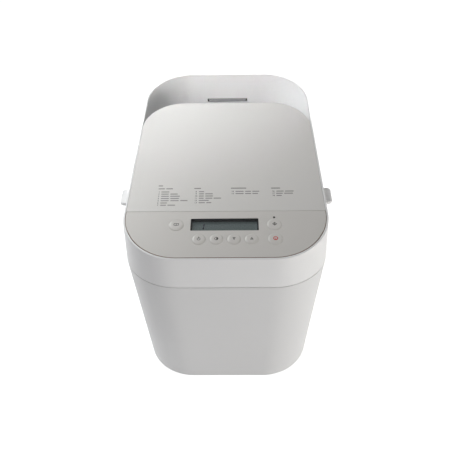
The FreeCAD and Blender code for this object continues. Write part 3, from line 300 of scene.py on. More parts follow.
def louvre_abs(name):
    """Moulded ABS in dark grey, matt, so that the vent reads as a shaded slot."""
    return skin(name, linear("#2A2929"), rough=(0.5, 0.6), grain=0.8 * MM, depth=0.02 * MM,
                drift=0.04, patch=30 * MM, IOR=1.54)


def deck_pbt(name):
    """Heat-proof moulded PBT round the oven: cool pale grey, matt."""
    return skin(name, linear("#C4C4C2"), rough=(0.48, 0.58), grain=0.9 * MM, depth=0.015 * MM,
                drift=0.02, IOR=1.56)


def dark_rubber(name):
    """Moulded silicone rubber: nearly black, dull, with a faint bloom."""
    return skin(name, linear("#2A2A2B"), rough=(0.68, 0.82), grain=0.9 * MM, depth=0.03 * MM,
                drift=0.12, patch=12 * MM, IOR=1.43)


def aluminised_steel(name):
    """Hot-dipped aluminised sheet: pale metal with a soft spangle and dull reflections."""
    return skin(name, linear("#C9C8C5"), rough=(0.32, 0.5), grain=3.5 * MM, depth=0.03 * MM,
                drift=0.07, patch=22 * MM, Metallic=1)


def plated_steel(name):
    """Nickel-plated steel, drawn: bright, with fine lines along the length."""
    return skin(name, linear("#CFCFD1"), rough=(0.18, 0.3), grain=0.8 * MM, depth=0.01 * MM,
                drift=0.05, patch=14 * MM, stretch=(0.15, 1, 1), Metallic=1)


def heater_sheath(name):
    """Heat-darkened steel tube of the element: brown-black oxide, dull and blotched."""
    return skin(name, linear("#4A4642"), rough=(0.5, 0.72), grain=1.5 * MM, depth=0.05 * MM,
                drift=0.3, patch=18 * MM, Metallic=0.7)


def zinc_sheet(name):
    """Zinc-plated sheet: cool grey metal with blotches of passivation."""
    return skin(name, linear("#B9BDC2"), rough=(0.3, 0.46), grain=2.5 * MM, depth=0.02 * MM,
                drift=0.09, patch=16 * MM, Metallic=1)


def natural_nylon(name):
    """Moulded nylon in its natural cream: waxy and slightly clouded."""
    return skin(name, linear("#E2DFD2"), rough=(0.36, 0.5), grain=1.2 * MM, depth=0.02 * MM,
                drift=0.03, patch=14 * MM, IOR=1.53)


def die_cast(name):
    """Die-cast aluminium alloy: flat grey metal with flow marks and a sandy grain."""
    return skin(name, linear("#B4B4B4"), rough=(0.42, 0.6), grain=0.9 * MM, depth=0.05 * MM,
                drift=0.08, patch=10 * MM, Metallic=1)


def sintered_bronze(name):
    """Sintered bronze, oil-filled: brown metal with open pores."""
    return skin(name, linear("#B08A55"), rough=(0.45, 0.62), grain=0.8 * MM, depth=0.06 * MM,
                drift=0.14, patch=5 * MM, Metallic=1)


def laminated_iron(name):
    """A stack of varnished stampings: thin level lines round the core, drawn at 1 mm to show."""
    line = 1 * MM
    radians_to_unit = 20
    material = blank(name)
    place = node(material, "ShaderNodeTexCoord").outputs["Object"]
    lines = node(material, "ShaderNodeTexWave", {
        "Vector": place, "Scale": 1 / (radians_to_unit * line) * math.pi, "Distortion": 0.2},
        bands_direction="Z")
    tint = node(material, "ShaderNodeMix", {0: lines.outputs["Fac"], 6: tone(linear("#3B3B3E")),
                                            7: tone(linear("#7A7A7E"))}, data_type="RGBA")
    bump = node(material, "ShaderNodeBump", {"Height": lines.outputs["Fac"], "Distance": 0.1 * MM})
    surface = node(material, "ShaderNodeBsdfPrincipled", {
        "Base Color": tint.outputs[2], "Roughness": 0.5, "Metallic": 0.8, "Normal": bump.outputs["Normal"]})
    return shaded(material, surface.outputs["BSDF"])


def non_stick(name):
    """Sprayed PTFE coat on aluminium: charcoal with pale flecks, and the low gloss of its orange peel."""
    fleck_pitch = 2.2 * MM
    peel_pitch = 1.6 * MM
    material = blank(name)
    place = node(material, "ShaderNodeTexCoord").outputs["Object"]
    cells = node(material, "ShaderNodeTexVoronoi", {"Vector": place, "Scale": 1 / fleck_pitch})
    peel = node(material, "ShaderNodeTexNoise", {"Vector": place, "Scale": 1 / peel_pitch, "Detail": 2})
    fleck = node(material, "ShaderNodeMapRange", {"Value": cells.outputs["Distance"], "From Min": 0.12,
                                                  "From Max": 0.2, "To Min": 1, "To Max": 0})
    tint = node(material, "ShaderNodeMix", {0: fleck.outputs["Result"], 6: tone(linear("#3A3A3B")),
                                            7: tone(linear("#6E6E70"))}, data_type="RGBA")
    gloss = node(material, "ShaderNodeMapRange", {
        "Value": peel.outputs["Fac"], "To Min": 0.34, "To Max": 0.52})
    bump = node(material, "ShaderNodeBump", {"Height": peel.outputs["Fac"], "Distance": 0.05 * MM})
    surface = node(material, "ShaderNodeBsdfPrincipled", {
        "Base Color": tint.outputs[2], "Roughness": gloss.outputs["Result"],
        "Normal": bump.outputs["Normal"], "IOR": 1.38})
    return shaded(material, surface.outputs["BSDF"])


def circuit_board(name):
    """Lacquered glass-epoxy board: deep green with lighter copper tracks under the lacquer."""
    track_pitch = 18 * MM
    material = blank(name)
    place = node(material, "ShaderNodeTexCoord").outputs["Object"]
    tracks = node(material, "ShaderNodeTexBrick", {
        "Vector": place, "Scale": 1 / track_pitch, "Mortar Size": 0.035, "Mortar Smooth": 0.1,
        "Color1": tone(linear("#1E5A38")), "Color2": tone(linear("#236642")),
        "Mortar": tone(linear("#4C8A54"))})
    bump = node(material, "ShaderNodeBump", {"Height": tracks.outputs["Fac"], "Distance": 0.04 * MM})
    surface = node(material, "ShaderNodeBsdfPrincipled", {
        "Base Color": tracks.outputs["Color"], "Roughness": 0.28, "Normal": bump.outputs["Normal"],
        "IOR": 1.55})
    return shaded(material, surface.outputs["BSDF"])


def display_face(name):
    """The LCD's polariser film: grey-green, matt, with a faint mesh of cells, drawn at 1 mm to show."""
    cell = 1.0 * MM
    material = blank(name)
    place = node(material, "ShaderNodeTexCoord").outputs["Object"]
    cells = node(material, "ShaderNodeTexVoronoi", {"Vector": place, "Scale": 1 / cell})
    tint = node(material, "ShaderNodeMix", {
        0: cells.outputs["Distance"], 6: tone(colours().display, 0.96),
        7: tone(colours().display, 1.05)}, data_type="RGBA")
    surface = node(material, "ShaderNodeBsdfPrincipled", {
        "Base Color": tint.outputs[2], "Roughness": 0.42, "IOR": 1.5})
    return shaded(material, surface.outputs["BSDF"])


def acrylic_window(name):
    """Clear acrylic, polished: the display shows through under a light gloss, with a few wiping marks."""
    wipe = 14 * MM
    material = blank(name)
    place = node(material, "ShaderNodeTexCoord").outputs["Object"]
    wipes = node(material, "ShaderNodeTexNoise", {"Vector": place, "Scale": 1 / wipe, "Detail": 4})
    gloss = node(material, "ShaderNodeMapRange", {
        "Value": wipes.outputs["Fac"], "To Min": 0.04, "To Max": 0.14})
    surface = node(material, "ShaderNodeBsdfPrincipled", {
        "Base Color": tone(linear("#3A4040")), "Roughness": gloss.outputs["Result"], "Alpha": 0.14,
        "IOR": 1.49})
    return shaded(material, surface.outputs["BSDF"])


def edge_mask(name):
    """Black paint on the window's sawn edges: dull, and dark enough to hide the wall of the hole."""
    return skin(name, linear("#121214"), rough=(0.5, 0.6), grain=0.8 * MM, depth=0.01 * MM,
                drift=0.1, patch=8 * MM, IOR=1.5)


def smoked_lens(name):
    """Smoked acrylic light pipe: dark and glossy while the lamp is off."""
    return skin(name, linear("#3A3634"), rough=(0.08, 0.16), grain=0.8 * MM, depth=0.004 * MM,
                drift=0.04, patch=4 * MM, IOR=1.49)


def dark_ink(name):
    """Pad-printed ink: flat grey, slightly broken by the grain under it."""
    return skin(name, colours().ink, rough=(0.5, 0.6), grain=0.8 * MM, depth=0.01 * MM,
                drift=0.05, patch=6 * MM)


def pale_ink(name):
    """The same ink in a thinner screen for the bars beside the numbers."""
    return skin(name, linear("#898683"), rough=(0.5, 0.6), grain=0.8 * MM, depth=0.01 * MM,
                drift=0.05, patch=6 * MM)


def red_ink(name):
    """Pad-printed red of the stop symbol: flat, with the same faint breaks."""
    return skin(name, colours().stop_ink, rough=(0.46, 0.56), grain=0.8 * MM, depth=0.01 * MM,
                drift=0.05, patch=6 * MM)


def segment_dye(name):
    """A display segment that is switched on: blue-black, without gloss of its own."""
    return skin(name, linear("#12141F"), rough=(0.5, 0.6), grain=0.8 * MM, depth=0.004 * MM,
                drift=0.05, patch=6 * MM)


def finish(maker):
    """The material that a finish function makes, made once."""
    return bpy.data.materials.get(maker.__name__) or maker(maker.__name__)


# Modelling

# How near a level a face or an edge lies to be on it
FACE_NEAR = 0.05 * MM
EDGE_NEAR = 0.1 * MM
# How squarely a face looks along a direction
SQUARELY = 0.99
MOSTLY = 0.9
HALFWAY = 0.5
EDGE_ON = 0.3
# The triangles of a node that are made whole faces, and the edges that are rounded
MERGE_WITHIN = 0.002 * MM
FLAT_WITHIN = math.radians(0.4)
SHARP = math.radians(30)
LIP_SEGMENTS = 5
# How far in from a node's side a face still belongs to its outer wall
WALL_DEPTH = 6 * MM
# The rounding of a bar's ends, as a share of its width
BAR_END = 0.45


def alone(piece):
    """Leave one piece selected and active."""
    bpy.ops.object.select_all(action="DESELECT")
    piece.select_set(True)
    bpy.context.view_layer.objects.active = piece
    return piece


def pick(kind, test):
    """In edit mode, select just the faces or edges that pass a test."""
    bpy.ops.mesh.select_mode(type=kind)
    bpy.ops.mesh.select_all(action="DESELECT")
    mesh = bpy.context.edit_object.data
    cage = bmesh.from_edit_mesh(mesh)
    for item in cage.faces if kind == "FACE" else cage.edges:
        item.select_set(test(item))
    cage.select_flush_mode()
    bmesh.update_edit_mesh(mesh)


def on_top(source):
    """A test for the faces at the top of a node, square to the slope."""
    level = span(source, OUT)[1] - FACE_NEAR

    def is_top(face):
        return face.normal.dot(OUT) > SQUARELY and face.calc_center_median().dot(OUT) > level

    return is_top


def merged_copy(source, name):
    """A new piece from a node's mesh, with its loose triangles merged into whole faces."""
    piece = bpy.data.objects.new(name, frame["nodes"][source].data.copy())
    bpy.context.collection.objects.link(piece)
    piece.data.materials.clear()
    alone(piece)
    bpy.ops.mesh.customdata_custom_splitnormals_clear()
    bpy.ops.object.mode_set(mode="EDIT")
    bpy.ops.mesh.select_mode(type="EDGE")
    bpy.ops.mesh.select_all(action="SELECT")
    bpy.ops.mesh.remove_doubles(threshold=MERGE_WITHIN)
    bpy.ops.mesh.mark_sharp(clear=True)
    bpy.ops.mesh.dissolve_limited(angle_limit=FLAT_WITHIN)
    bpy.ops.object.mode_set(mode="OBJECT")
    bpy.ops.object.shade_smooth()
    return piece


def apply_modifiers(piece):
    alone(piece)
    for modifier in list(piece.modifiers):
        bpy.ops.object.modifier_apply(modifier=modifier.name)


def round_edges(piece, width, segments=3):
    """Round every sharp edge, and even out the shading of the flats between."""
    if width:
        bevel = piece.modifiers.new("rounding", "BEVEL")
        bevel.width = width
        bevel.segments = segments
        bevel.limit_method = "ANGLE"
        bevel.angle_limit = SHARP
        bevel.use_clamp_overlap = False
    even = piece.modifiers.new("even_shading", "WEIGHTED_NORMAL")
    even.keep_sharp = True
    apply_modifiers(piece)


def settle(piece, source, maker):
    """Give a piece its finish and let it stand for a node, on the node's body."""
    if not piece.data.materials:
        piece.data.materials.append(finish(maker))
    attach(piece, frame["nodes"][source]["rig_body"])
    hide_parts(source)
    return piece


def softened(source, name, maker, rounding, segments=3):
    """A copy of a node with its edges rounded, which stands for the node."""
    piece = merged_copy(source, name)
    round_edges(piece, rounding, segments)
    return settle(piece, source, maker)


def reach_sideways(source, distance):
    """Move the outer side walls of the active copy of a node outwards, which narrows the gaps there."""
    bpy.ops.object.mode_set(mode="EDIT")
    for side in (-1, 1):
        inside = max(side * x for x in span(source, ACROSS)) - WALL_DEPTH

        def is_wall(face):
            return face.normal.x * side > MOSTLY and face.calc_center_median().x * side > inside

        pick("FACE", is_wall)
        bpy.ops.transform.translate(value=(side * distance, 0, 0))
    bpy.ops.object.mode_set(mode="OBJECT")


def lipped(source, name, maker, lip, rest, seam=None, lip_maker=None, reach=0):
    """A copy of a node whose upper outer edge is rounded into a lip, except along a seam."""
    piece = merged_copy(source, name)
    if reach:
        reach_sideways(source, reach)
    is_top = on_top(source)
    centre = middle_point(source)
    seam_line = span(source, seam)[1] - EDGE_NEAR if seam else None

    def at_seam(edge):
        return seam and all(corner.co.dot(seam) > seam_line for corner in edge.verts)

    def from_centre(edge):
        return (edge.verts[0].co + edge.verts[1].co - 2 * centre).length

    bpy.ops.object.mode_set(mode="EDIT")
    cage = bmesh.from_edit_mesh(piece.data)
    rim = {edge for edge in cage.edges if sum(is_top(face) for face in edge.link_faces) == 1}
    loop = [max(rim, key=from_centre)]
    for edge in loop:
        beside = {other for corner in edge.verts for other in corner.link_edges}
        loop += [other for other in beside & rim if other not in loop]
    chosen = {edge.index for edge in loop if not at_seam(edge)}
    pick("EDGE", lambda edge: edge.index in chosen)
    bpy.ops.mesh.bevel(offset=lip, segments=LIP_SEGMENTS, affect="EDGES", clamp_overlap=False)
    # The lip's own finish; on the panel it is painted shade of the gap
    if lip_maker:
        piece.data.materials.append(finish(maker))
        piece.data.materials.append(finish(lip_maker))
        piece.active_material_index = 1
        bpy.ops.object.material_slot_assign()
    bpy.ops.object.mode_set(mode="OBJECT")
    round_edges(piece, rest)
    return settle(piece, source, maker)


def paint(maker, *names):
    """Give carried-over nodes their finish."""
    for name in names:
        item = frame["nodes"][name]
        for slot in item.material_slots:
            slot.material = finish(maker)


def stand_on_slope(piece, x, up, out):
    """Move a piece that was modelled flat at the origin to its place on the slope, in its mesh."""
    alone(piece)
    turn = Matrix((ACROSS, UP_SLOPE, OUT)).transposed().to_4x4()
    piece.matrix_world = Matrix.Translation(ACROSS * x + UP_SLOPE * up + OUT * out) @ turn
    bpy.ops.object.transform_apply(location=True, rotation=True, scale=True)
    return piece


def joined(pieces, name):
    """Join flat shapes into one piece."""
    bpy.ops.object.select_all(action="DESELECT")
    for piece in pieces:
        piece.select_set(True)
    bpy.context.view_layer.objects.active = pieces[0]
    bpy.ops.object.transform_apply(location=True, rotation=True, scale=True)
    if len(pieces) > 1:
        bpy.ops.object.join()
    whole = bpy.context.view_layer.objects.active
    whole.name = name
    return whole


def flat_outline(corners, radius, width=0, at=(0, 0), turn=0, stretch=(1, 1)):
    """A flat many-sided shape, filled, or as a ring where it has a line width."""
    bpy.ops.object.select_all(action="DESELECT")
    bpy.ops.mesh.primitive_circle_add(vertices=corners, radius=radius, fill_type="NGON",
                                      location=(*at, 0), rotation=(0, 0, turn))
    shape = bpy.context.object
    shape.scale = (*stretch, 1)
    bpy.ops.object.transform_apply(location=False, rotation=False, scale=True)
    if width:
        bpy.ops.object.mode_set(mode="EDIT")
        bpy.ops.mesh.select_all(action="SELECT")
        bpy.ops.mesh.inset(thickness=width)
        bpy.ops.mesh.delete(type="FACE")
        bpy.ops.object.mode_set(mode="OBJECT")
    return shape


def flat_bar(length, width, at=(0, 0), turn=0):
    """A flat bar with rounded ends, centred on its place."""
    bpy.ops.object.select_all(action="DESELECT")
    bpy.ops.mesh.primitive_plane_add(size=1, location=(*at, 0), rotation=(0, 0, turn))
    bar = bpy.context.object
    bar.scale = (length, width, 1)
    bpy.ops.object.transform_apply(location=False, rotation=False, scale=True)
    bpy.ops.object.mode_set(mode="EDIT")
    bpy.ops.mesh.select_all(action="SELECT")
    bpy.ops.mesh.bevel(offset=BAR_END * min(length, width), segments=3, affect="VERTICES")
    bpy.ops.object.mode_set(mode="OBJECT")
    return bar


def inked(shapes, name, maker):
    """Flat shapes as one thin film of ink, still lying flat at the origin."""
    film = joined(shapes, name)
    solid = film.modifiers.new("film", "SOLIDIFY")
    solid.thickness = sizes().print_thickness
    solid.offset = 1
    apply_modifiers(film)
    film.data.materials.clear()
    film.data.materials.append(finish(maker))
    return film


# Pieces

BODY_EDGE = 0.15 * MM
GRIP_EDGE = 0.5 * MM
PANEL_EDGE = 0.1 * MM


def collar():
    """The case's upper moulding: its rim rounded outside, its foot let down into the seam."""
    source = "upper_housing"
    piece = merged_copy(source, "case_collar")
    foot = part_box(source)[0].z

    def outer_rim(edge):
        up = any(face.normal.dot(OUT) > MOSTLY for face in edge.link_faces)
        side = any(face.normal.xy.dot(edge.verts[0].co.xy) > 0 and abs(face.normal.dot(OUT)) < HALFWAY
                   for face in edge.link_faces)
        return up and side and edge.is_convex

    def at_foot(face):
        return face.normal.z < -MOSTLY and face.calc_center_median().z < foot + FACE_NEAR

    bpy.ops.object.mode_set(mode="EDIT")
    pick("EDGE", outer_rim)
    bpy.ops.mesh.bevel(offset=sizes().case_round, segments=LIP_SEGMENTS, affect="EDGES",
                       clamp_overlap=False)
    pick("FACE", at_foot)
    bpy.ops.transform.translate(value=(0, 0, -sizes().collar_reach))
    bpy.ops.object.mode_set(mode="OBJECT")
    round_edges(piece, sizes().case_inner_round)
    # The collar takes the lighter white, which is painted light
    settle(piece, source, white_abs_painted_light)


def body():
    """The case's lower moulding, rounded round its bottom."""
    source = "lower_housing"
    piece = merged_copy(source, "case_body")
    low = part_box(source)[0].z

    def bottom_edge(edge):
        at_bottom = all(abs(corner.co.z - low) < EDGE_NEAR for corner in edge.verts)
        outward = any(face.normal.xy.dot(edge.verts[0].co.xy) > 0 and face.normal.z > -MOSTLY
                      for face in edge.link_faces)
        return at_bottom and outward

    bpy.ops.object.mode_set(mode="EDIT")
    pick("EDGE", bottom_edge)
    bpy.ops.mesh.bevel(offset=sizes().base_round, segments=LIP_SEGMENTS, affect="EDGES",
                       clamp_overlap=False)
    bpy.ops.object.mode_set(mode="OBJECT")
    round_edges(piece, BODY_EDGE)
    settle(piece, source, white_abs)


class BREADMACHINE_OT_case(bpy.types.Operator):
    """Round the white mouldings of the case, its grips, the well behind the lid and its vent"""

    bl_idname = "bread_machine.case"
    bl_label = "Case"

    def execute(self, context):
        collar()
        body()
        for side in ("left", "right"):
            lipped(f"{side}_grip", f"carry_grip_{side}", white_abs_painted_light, lip=sizes().grip_round, rest=GRIP_EDGE)
        softened("rear_tray", "well_tray", white_abs_painted_light, rounding=0.4 * MM)
        softened("vent_louvre", "rear_louvre", louvre_abs, rounding=0.3 * MM)
        return {"FINISHED"}


class BREADMACHINE_OT_base(bpy.types.Operator):
    """Round the base with its feet, screws and cord inlet"""

    bl_idname = "bread_machine.base"
    bl_label = "Base"

    def execute(self, context):
        softened("base_plate", "base_moulding", black_abs, rounding=0.5 * MM)
        softened("rubber_feet", "feet", dark_rubber, rounding=1.2 * MM, segments=4)
        softened("base_screws", "base_fixings", plated_steel, rounding=0.4 * MM)
        softened("cord_gland", "cord_inlet", black_abs, rounding=0.8 * MM)
        return {"FINISHED"}


class BREADMACHINE_OT_panel(bpy.types.Operator):
    """Round the control panel's plate and its indicator, and finish what lies under them"""

    bl_idname = "bread_machine.panel"
    bl_label = "Control panel"

    def execute(self, context):
        # The panel's lip takes a dull brown, painted shade of the gap beside it
        lipped("control_panel", "panel_plate", panel_abs, lip=sizes().panel_lip, rest=PANEL_EDGE,
               seam=UP_SLOPE, lip_maker=painted_gap_shade, reach=sizes().side_reach)
        softened("indicator_lens", "indicator", smoked_lens, rounding=0.3 * MM)
        paint(black_abs, "panel_carrier", "key_switches")
        paint(circuit_board, "control_board")
        return {"FINISHED"}


# Rings of a key's dome, from its edge in: width, and the share of the dome's height that it climbs
DOME = ((0.45 * MM, 0.31), (0.6 * MM, 0.27), (0.7 * MM, 0.2), (0.9 * MM, 0.14), (1.0 * MM, 0.08))
# How far the dome's foot lies below the panel's face, and how much wider than the key it is
KEY_SINK = 0.05 * MM
FLARE = 0.2 * MM
# The lines of the symbols
LINE = 0.65 * MM
BOLD_LINE = 0.85 * MM
UPRIGHT = math.pi / 2


def soft_key(name):
    """Shape a key that domes up from the panel's face to a small flat, and give that flat's height."""
    source = f"{name}_button"
    key = merged_copy(source, f"{name}_cap")
    top = span(source, OUT)[1]
    climb = top - span("control_panel", OUT)[1] + KEY_SINK
    bpy.ops.object.mode_set(mode="EDIT")
    pick("FACE", on_top(source))
    bpy.ops.transform.translate(value=-climb * OUT)
    cage = bmesh.from_edit_mesh(key.data)
    foot = next(face for face in cage.faces if face.select)
    centre = foot.calc_center_median()
    wider = 1 + FLARE / (foot.verts[0].co - centre).length
    bpy.ops.transform.resize(value=(wider, wider, wider), center_override=centre)
    for width, share in DOME:
        bpy.ops.mesh.inset(thickness=width, depth=share * climb)
    bpy.ops.object.mode_set(mode="OBJECT")
    round_edges(key, 0)
    settle(key, source, key_abs)
    return top


def menu_symbol():
    """An open book: a spine, two outer edges, and the tops and feet of the pages sloping to the spine."""
    page_line = 0.95 * MM
    page_slope = 0.13
    edges = [flat_bar(3.2 * MM, LINE, (x * MM, up * MM), UPRIGHT)
             for x, up in ((-3, 0.2), (0, -0.2), (3, 0.2))]
    pages = [flat_bar(3.3 * MM, page_line, (side * 1.5 * MM, up * MM), side * page_slope)
             for side in (-1, 1) for up in (1.45, -1.35)]
    return edges + pages


def timer_symbol():
    """A round timer with its knob on top and one hand."""
    dial = flat_outline(8, 2.3 * MM, LINE, (0, -0.5 * MM), math.pi / 8)
    knob = flat_bar(1.6 * MM, LINE, (0, 2.0 * MM))
    stem = flat_bar(1.2 * MM, LINE, (0, 2.6 * MM), UPRIGHT)
    hand = flat_bar(1.3 * MM, LINE, (0, 0), UPRIGHT)
    return [dial, knob, stem, hand]


def crust_symbol():
    """A disc, its right half filled."""
    radius = 2.4 * MM
    half = flat_outline(32, radius)
    alone(half)
    bpy.ops.object.mode_set(mode="EDIT")
    bpy.ops.mesh.select_all(action="SELECT")
    bpy.ops.mesh.bisect(plane_co=(0, 0, 0), plane_no=(1, 0, 0), clear_inner=True)
    bpy.ops.object.mode_set(mode="OBJECT")
    return [half, flat_outline(32, radius, LINE)]


def down_symbol():
    """A triangle on its point."""
    return [flat_outline(3, 2.4 * MM, BOLD_LINE, (0, 0.4 * MM), math.pi, (0.94, 1.25))]


def up_symbol():
    """A triangle on its foot."""
    return [flat_outline(3, 2.4 * MM, BOLD_LINE, (0, -0.5 * MM), 0, (1.05, 1.1))]


def start_symbol():
    """A diamond with an upright bar in it."""
    diamond = flat_outline(4, 3.0 * MM, BOLD_LINE, stretch=(1, 0.95))
    upright = flat_bar(3.4 * MM, 1.0 * MM, turn=UPRIGHT)
    return [diamond, upright]


def stop_symbol():
    """A thick ring with a small triangle left open in it."""
    ring = flat_outline(32, 3.0 * MM, 1.1 * MM)
    foot = flat_bar(1.6 * MM, 0.8 * MM, (0, -1.5 * MM))
    triangle = flat_outline(3, 1.15 * MM, 0.3 * MM, (0, -0.2 * MM))
    return [ring, foot, triangle]


SYMBOLS = {"menu": menu_symbol, "start": start_symbol, "stop": stop_symbol, "timer": timer_symbol,
           "crust": crust_symbol, "down": down_symbol, "up": up_symbol}


class BREADMACHINE_OT_keys(bpy.types.Operator):
    """Shape the keys and print a symbol on each"""

    bl_idname = "bread_machine.keys"
    bl_label = "Keys"

    def execute(self, context):
        for name, drawn in SYMBOLS.items():
            floor = soft_key(name)
            maker = red_ink if name == "stop" else dark_ink
            symbol = inked(drawn(), f"{name}_symbol", maker)
            source = f"{name}_button"
            stand_on_slope(symbol, middle(source, ACROSS), middle(source, UP_SLOPE), floor)
            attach(symbol, f"{name}_key")
        return {"FINISHED"}


# The display's face: its depth below the module's top, its margin in the hole, its dark border, its glass
FACE_DROP = 3 * MM
FACE_MARGIN = 0.6 * MM
FACE_BORDER = 1.2 * MM
FACE_THICKNESS = 0.6 * MM
# The figure on it: its place from the middle, and its two segments
FIGURE_LEFT = 26.6 * MM
FIGURE_RAISE = 0.2 * MM
SEGMENT_RADIUS = 2.7 * MM
SEGMENT_STEP = (0.3 * MM, 2.6 * MM)
SEGMENT_LEAN = 0.1
SEGMENT_STRETCH = (0.97, 0.36)


class BREADMACHINE_OT_display(bpy.types.Operator):
    """Lay the display in its frame under the window, with one figure showing"""

    bl_idname = "bread_machine.display"
    bl_label = "Display"

    def execute(self, context):
        softened("lcd_module", "display_frame", black_abs, rounding=0.3 * MM)
        window = softened("lcd_window", "display_window", acrylic_window, rounding=0.1 * MM)
        window.data.materials.append(finish(edge_mask))
        for side in window.data.polygons:
            if abs(side.normal.dot(OUT)) < EDGE_ON:
                side.material_index = 1
        width, height = extent("lcd_window", ACROSS), extent("lcd_window", UP_SLOPE)
        x, up = middle("lcd_window", ACROSS), middle("lcd_window", UP_SLOPE)
        floor = span("lcd_module", OUT)[1] - FACE_DROP
        bpy.ops.object.select_all(action="DESELECT")
        bpy.ops.mesh.primitive_plane_add(size=1)
        face = bpy.context.object
        face.name = "display_face"
        face.scale = (width - FACE_MARGIN, height - FACE_MARGIN, 1)
        bpy.ops.object.transform_apply(location=False, rotation=False, scale=True)
        bpy.ops.object.mode_set(mode="EDIT")
        bpy.ops.mesh.select_all(action="SELECT")
        bpy.ops.mesh.inset(thickness=FACE_BORDER)
        bpy.ops.object.mode_set(mode="OBJECT")
        face.data.materials.append(finish(black_abs))
        face.data.materials.append(finish(display_face))
        largest = max(face.data.polygons, key=lambda side: side.area)
        largest.material_index = 1
        solid = face.modifiers.new("glass", "SOLIDIFY")
        solid.thickness = FACE_THICKNESS
        solid.offset = 1
        apply_modifiers(face)
        stand_on_slope(face, x, up, floor)
        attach(face, "case")
        step_x, step_up = SEGMENT_STEP
        bars = [flat_outline(6, SEGMENT_RADIUS, 0, (step_x * side, step_up * side), UPRIGHT - SEGMENT_LEAN,
                             SEGMENT_STRETCH) for side in (-1, 1)]
        figure = inked(bars, "display_figure", segment_dye)
        stand_on_slope(figure, x - FIGURE_LEFT, up + FIGURE_RAISE, floor + FACE_THICKNESS)
        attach(figure, "case")
        return {"FINISHED"}


# The printed table on the lid, in mm: first number, x of the numbers, and the ends of each row's bars
TABLE = (
    (1, -88.8, (((-86, -75.2),), ((-85.9, -75.7), (-73.8, -63.6)), ((-85.7, -75.1), (-73.7, -60.6)),
                ((-85.7, -74.8), (-73.2, -61.4)), ((-85.6, -74.7), (-72.9, -61.5), (-59.9, -50)),
                ((-85.7, -76.7),), ((-85.5, -77.6), (-76, -65.8)))),
    (8, -39.3, (((-35.8, -28.8),), ((-35.6, -28.9), (-27.3, -17)), ((-35.6, -28.8), (-27.2, -16.9)),
                ((-35.4, -28.9), (-27, -17.4), (-16, -6)), ((-35.4, -22.1),),
                ((-35.4, -27.1), (-25.5, -18.6)))),
    (14, 9.1, (((12.9, 23.9), (25.6, 33.8), (35.2, 44.6)), ((12.9, 23.8), (25.6, 33.8), (35.2, 42.8)))),
    (16, 63.2, (((67.1, 77.1), (78.7, 90.3)), ((66.6, 75.6), (77.2, 89)), ((66.8, 74),))),
)
# The bars over its columns, in mm: the way up from the lid's front edge, and both ends
HEADINGS = ((46.8, -90.7, -84.6), (41.2, -90.4, -81.6), (41.2, -80, -70.8), (41.4, -42.3, -33.1),
            (41.4, 6.7, 27.4), (41, 60.4, 72.7))
FIRST_ROW = 35.3 * MM
BAR_WIDTH = 1.6 * MM
HEADING_WIDTH = 1.8 * MM
NUMBER_WEIGHT = 0.05 * MM


def table_bar(start, end, up, width):
    return flat_bar((end - start) * MM, width, ((start + end) / 2 * MM, up))


def printed_number(text, x, up):
    """A number as a flat mesh, centred on its row."""
    bpy.ops.object.select_all(action="DESELECT")
    bpy.ops.object.text_add(location=(x, up, 0))
    label = bpy.context.object
    label.data.body = text
    label.data.size = sizes().number_height
    label.data.resolution_u = 3
    label.data.offset = NUMBER_WEIGHT
    label.data.align_x = "CENTER"
    label.data.align_y = "CENTER"
    bpy.ops.object.convert(target="MESH")
    return bpy.context.object


class BREADMACHINE_OT_lid(bpy.types.Operator):
    """Round the lid and print its table of numbers and bars"""

    bl_idname = "bread_machine.lid"
    bl_label = "Lid"

    def execute(self, context):
        lipped("lid_shell", "lid_moulding", grey_abs, lip=sizes().lid_lip, rest=sizes().seam_round,
               seam=-UP_SLOPE, reach=sizes().side_reach)
        softened("lid_liner", "lid_inner_sheet", aluminised_steel, rounding=0.2 * MM, segments=2)
        softened("lid_seal", "lid_gasket", dark_rubber, rounding=0.8 * MM)
        softened("lid_screws", "lid_fixings", plated_steel, rounding=0.3 * MM)
        softened("hinge_pins", "hinge_rods", plated_steel, rounding=0.5 * MM)
        top = span("lid_shell", OUT)[1]
        front = span("lid_shell", UP_SLOPE)[0]
        numbers, bars = [], []
        for first, number_x, rows in TABLE:
            for row, ends in enumerate(rows):
                up = FIRST_ROW - row * sizes().row_pitch
                numbers.append(printed_number(str(first + row), number_x * MM, up))
                bars += [table_bar(start, end, up, BAR_WIDTH) for start, end in ends]
        bars += [table_bar(start, end, up * MM, HEADING_WIDTH) for up, start, end in HEADINGS]
        for shapes, name, maker in ((numbers, "lid_numbers", dark_ink), (bars, "lid_bars", pale_ink)):
            film = inked(shapes, name, maker)
            stand_on_slope(film, 0, front, top)
            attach(film, "lid")
        return {"FINISHED"}


class BREADMACHINE_OT_oven(bpy.types.Operator):
    """Dress the oven, its heater and the pan with its handle and blade"""

    bl_idname = "bread_machine.oven"
    bl_label = "Oven and pan"

    def execute(self, context):
        softened("oven_surround", "oven_deck", deck_pbt, rounding=0.5 * MM)
        softened("oven_liner", "oven_sheet", aluminised_steel, rounding=0.2 * MM, segments=2)
        softened("heater_element", "heater_tube", heater_sheath, rounding=0)
        softened("heater_clips", "heater_brackets", aluminised_steel, rounding=0.3 * MM)
        softened("temperature_sensor", "sensor_probe", plated_steel, rounding=0.6 * MM)
        softened("pan_seat", "pan_seat_ring", aluminised_steel, rounding=0.6 * MM)
        softened("bread_pan", "pan_body", non_stick, rounding=0.3 * MM)
        softened("pan_base_ring", "pan_foot", die_cast, rounding=0.6 * MM)
        softened("shaft_seal", "pan_shaft_seal", dark_rubber, rounding=0.2 * MM)
        softened("handle_pivots", "bail_brackets", plated_steel, rounding=0.4 * MM)
        softened("pan_handle", "bail", plated_steel, rounding=0.9 * MM, segments=4)
        softened("kneading_blade", "paddle", non_stick, rounding=1.4 * MM, segments=4)
        paint(plated_steel, "pan_shaft")
        paint(die_cast, "pan_coupling")
        paint(sintered_bronze, "pan_bush")
        return {"FINISHED"}


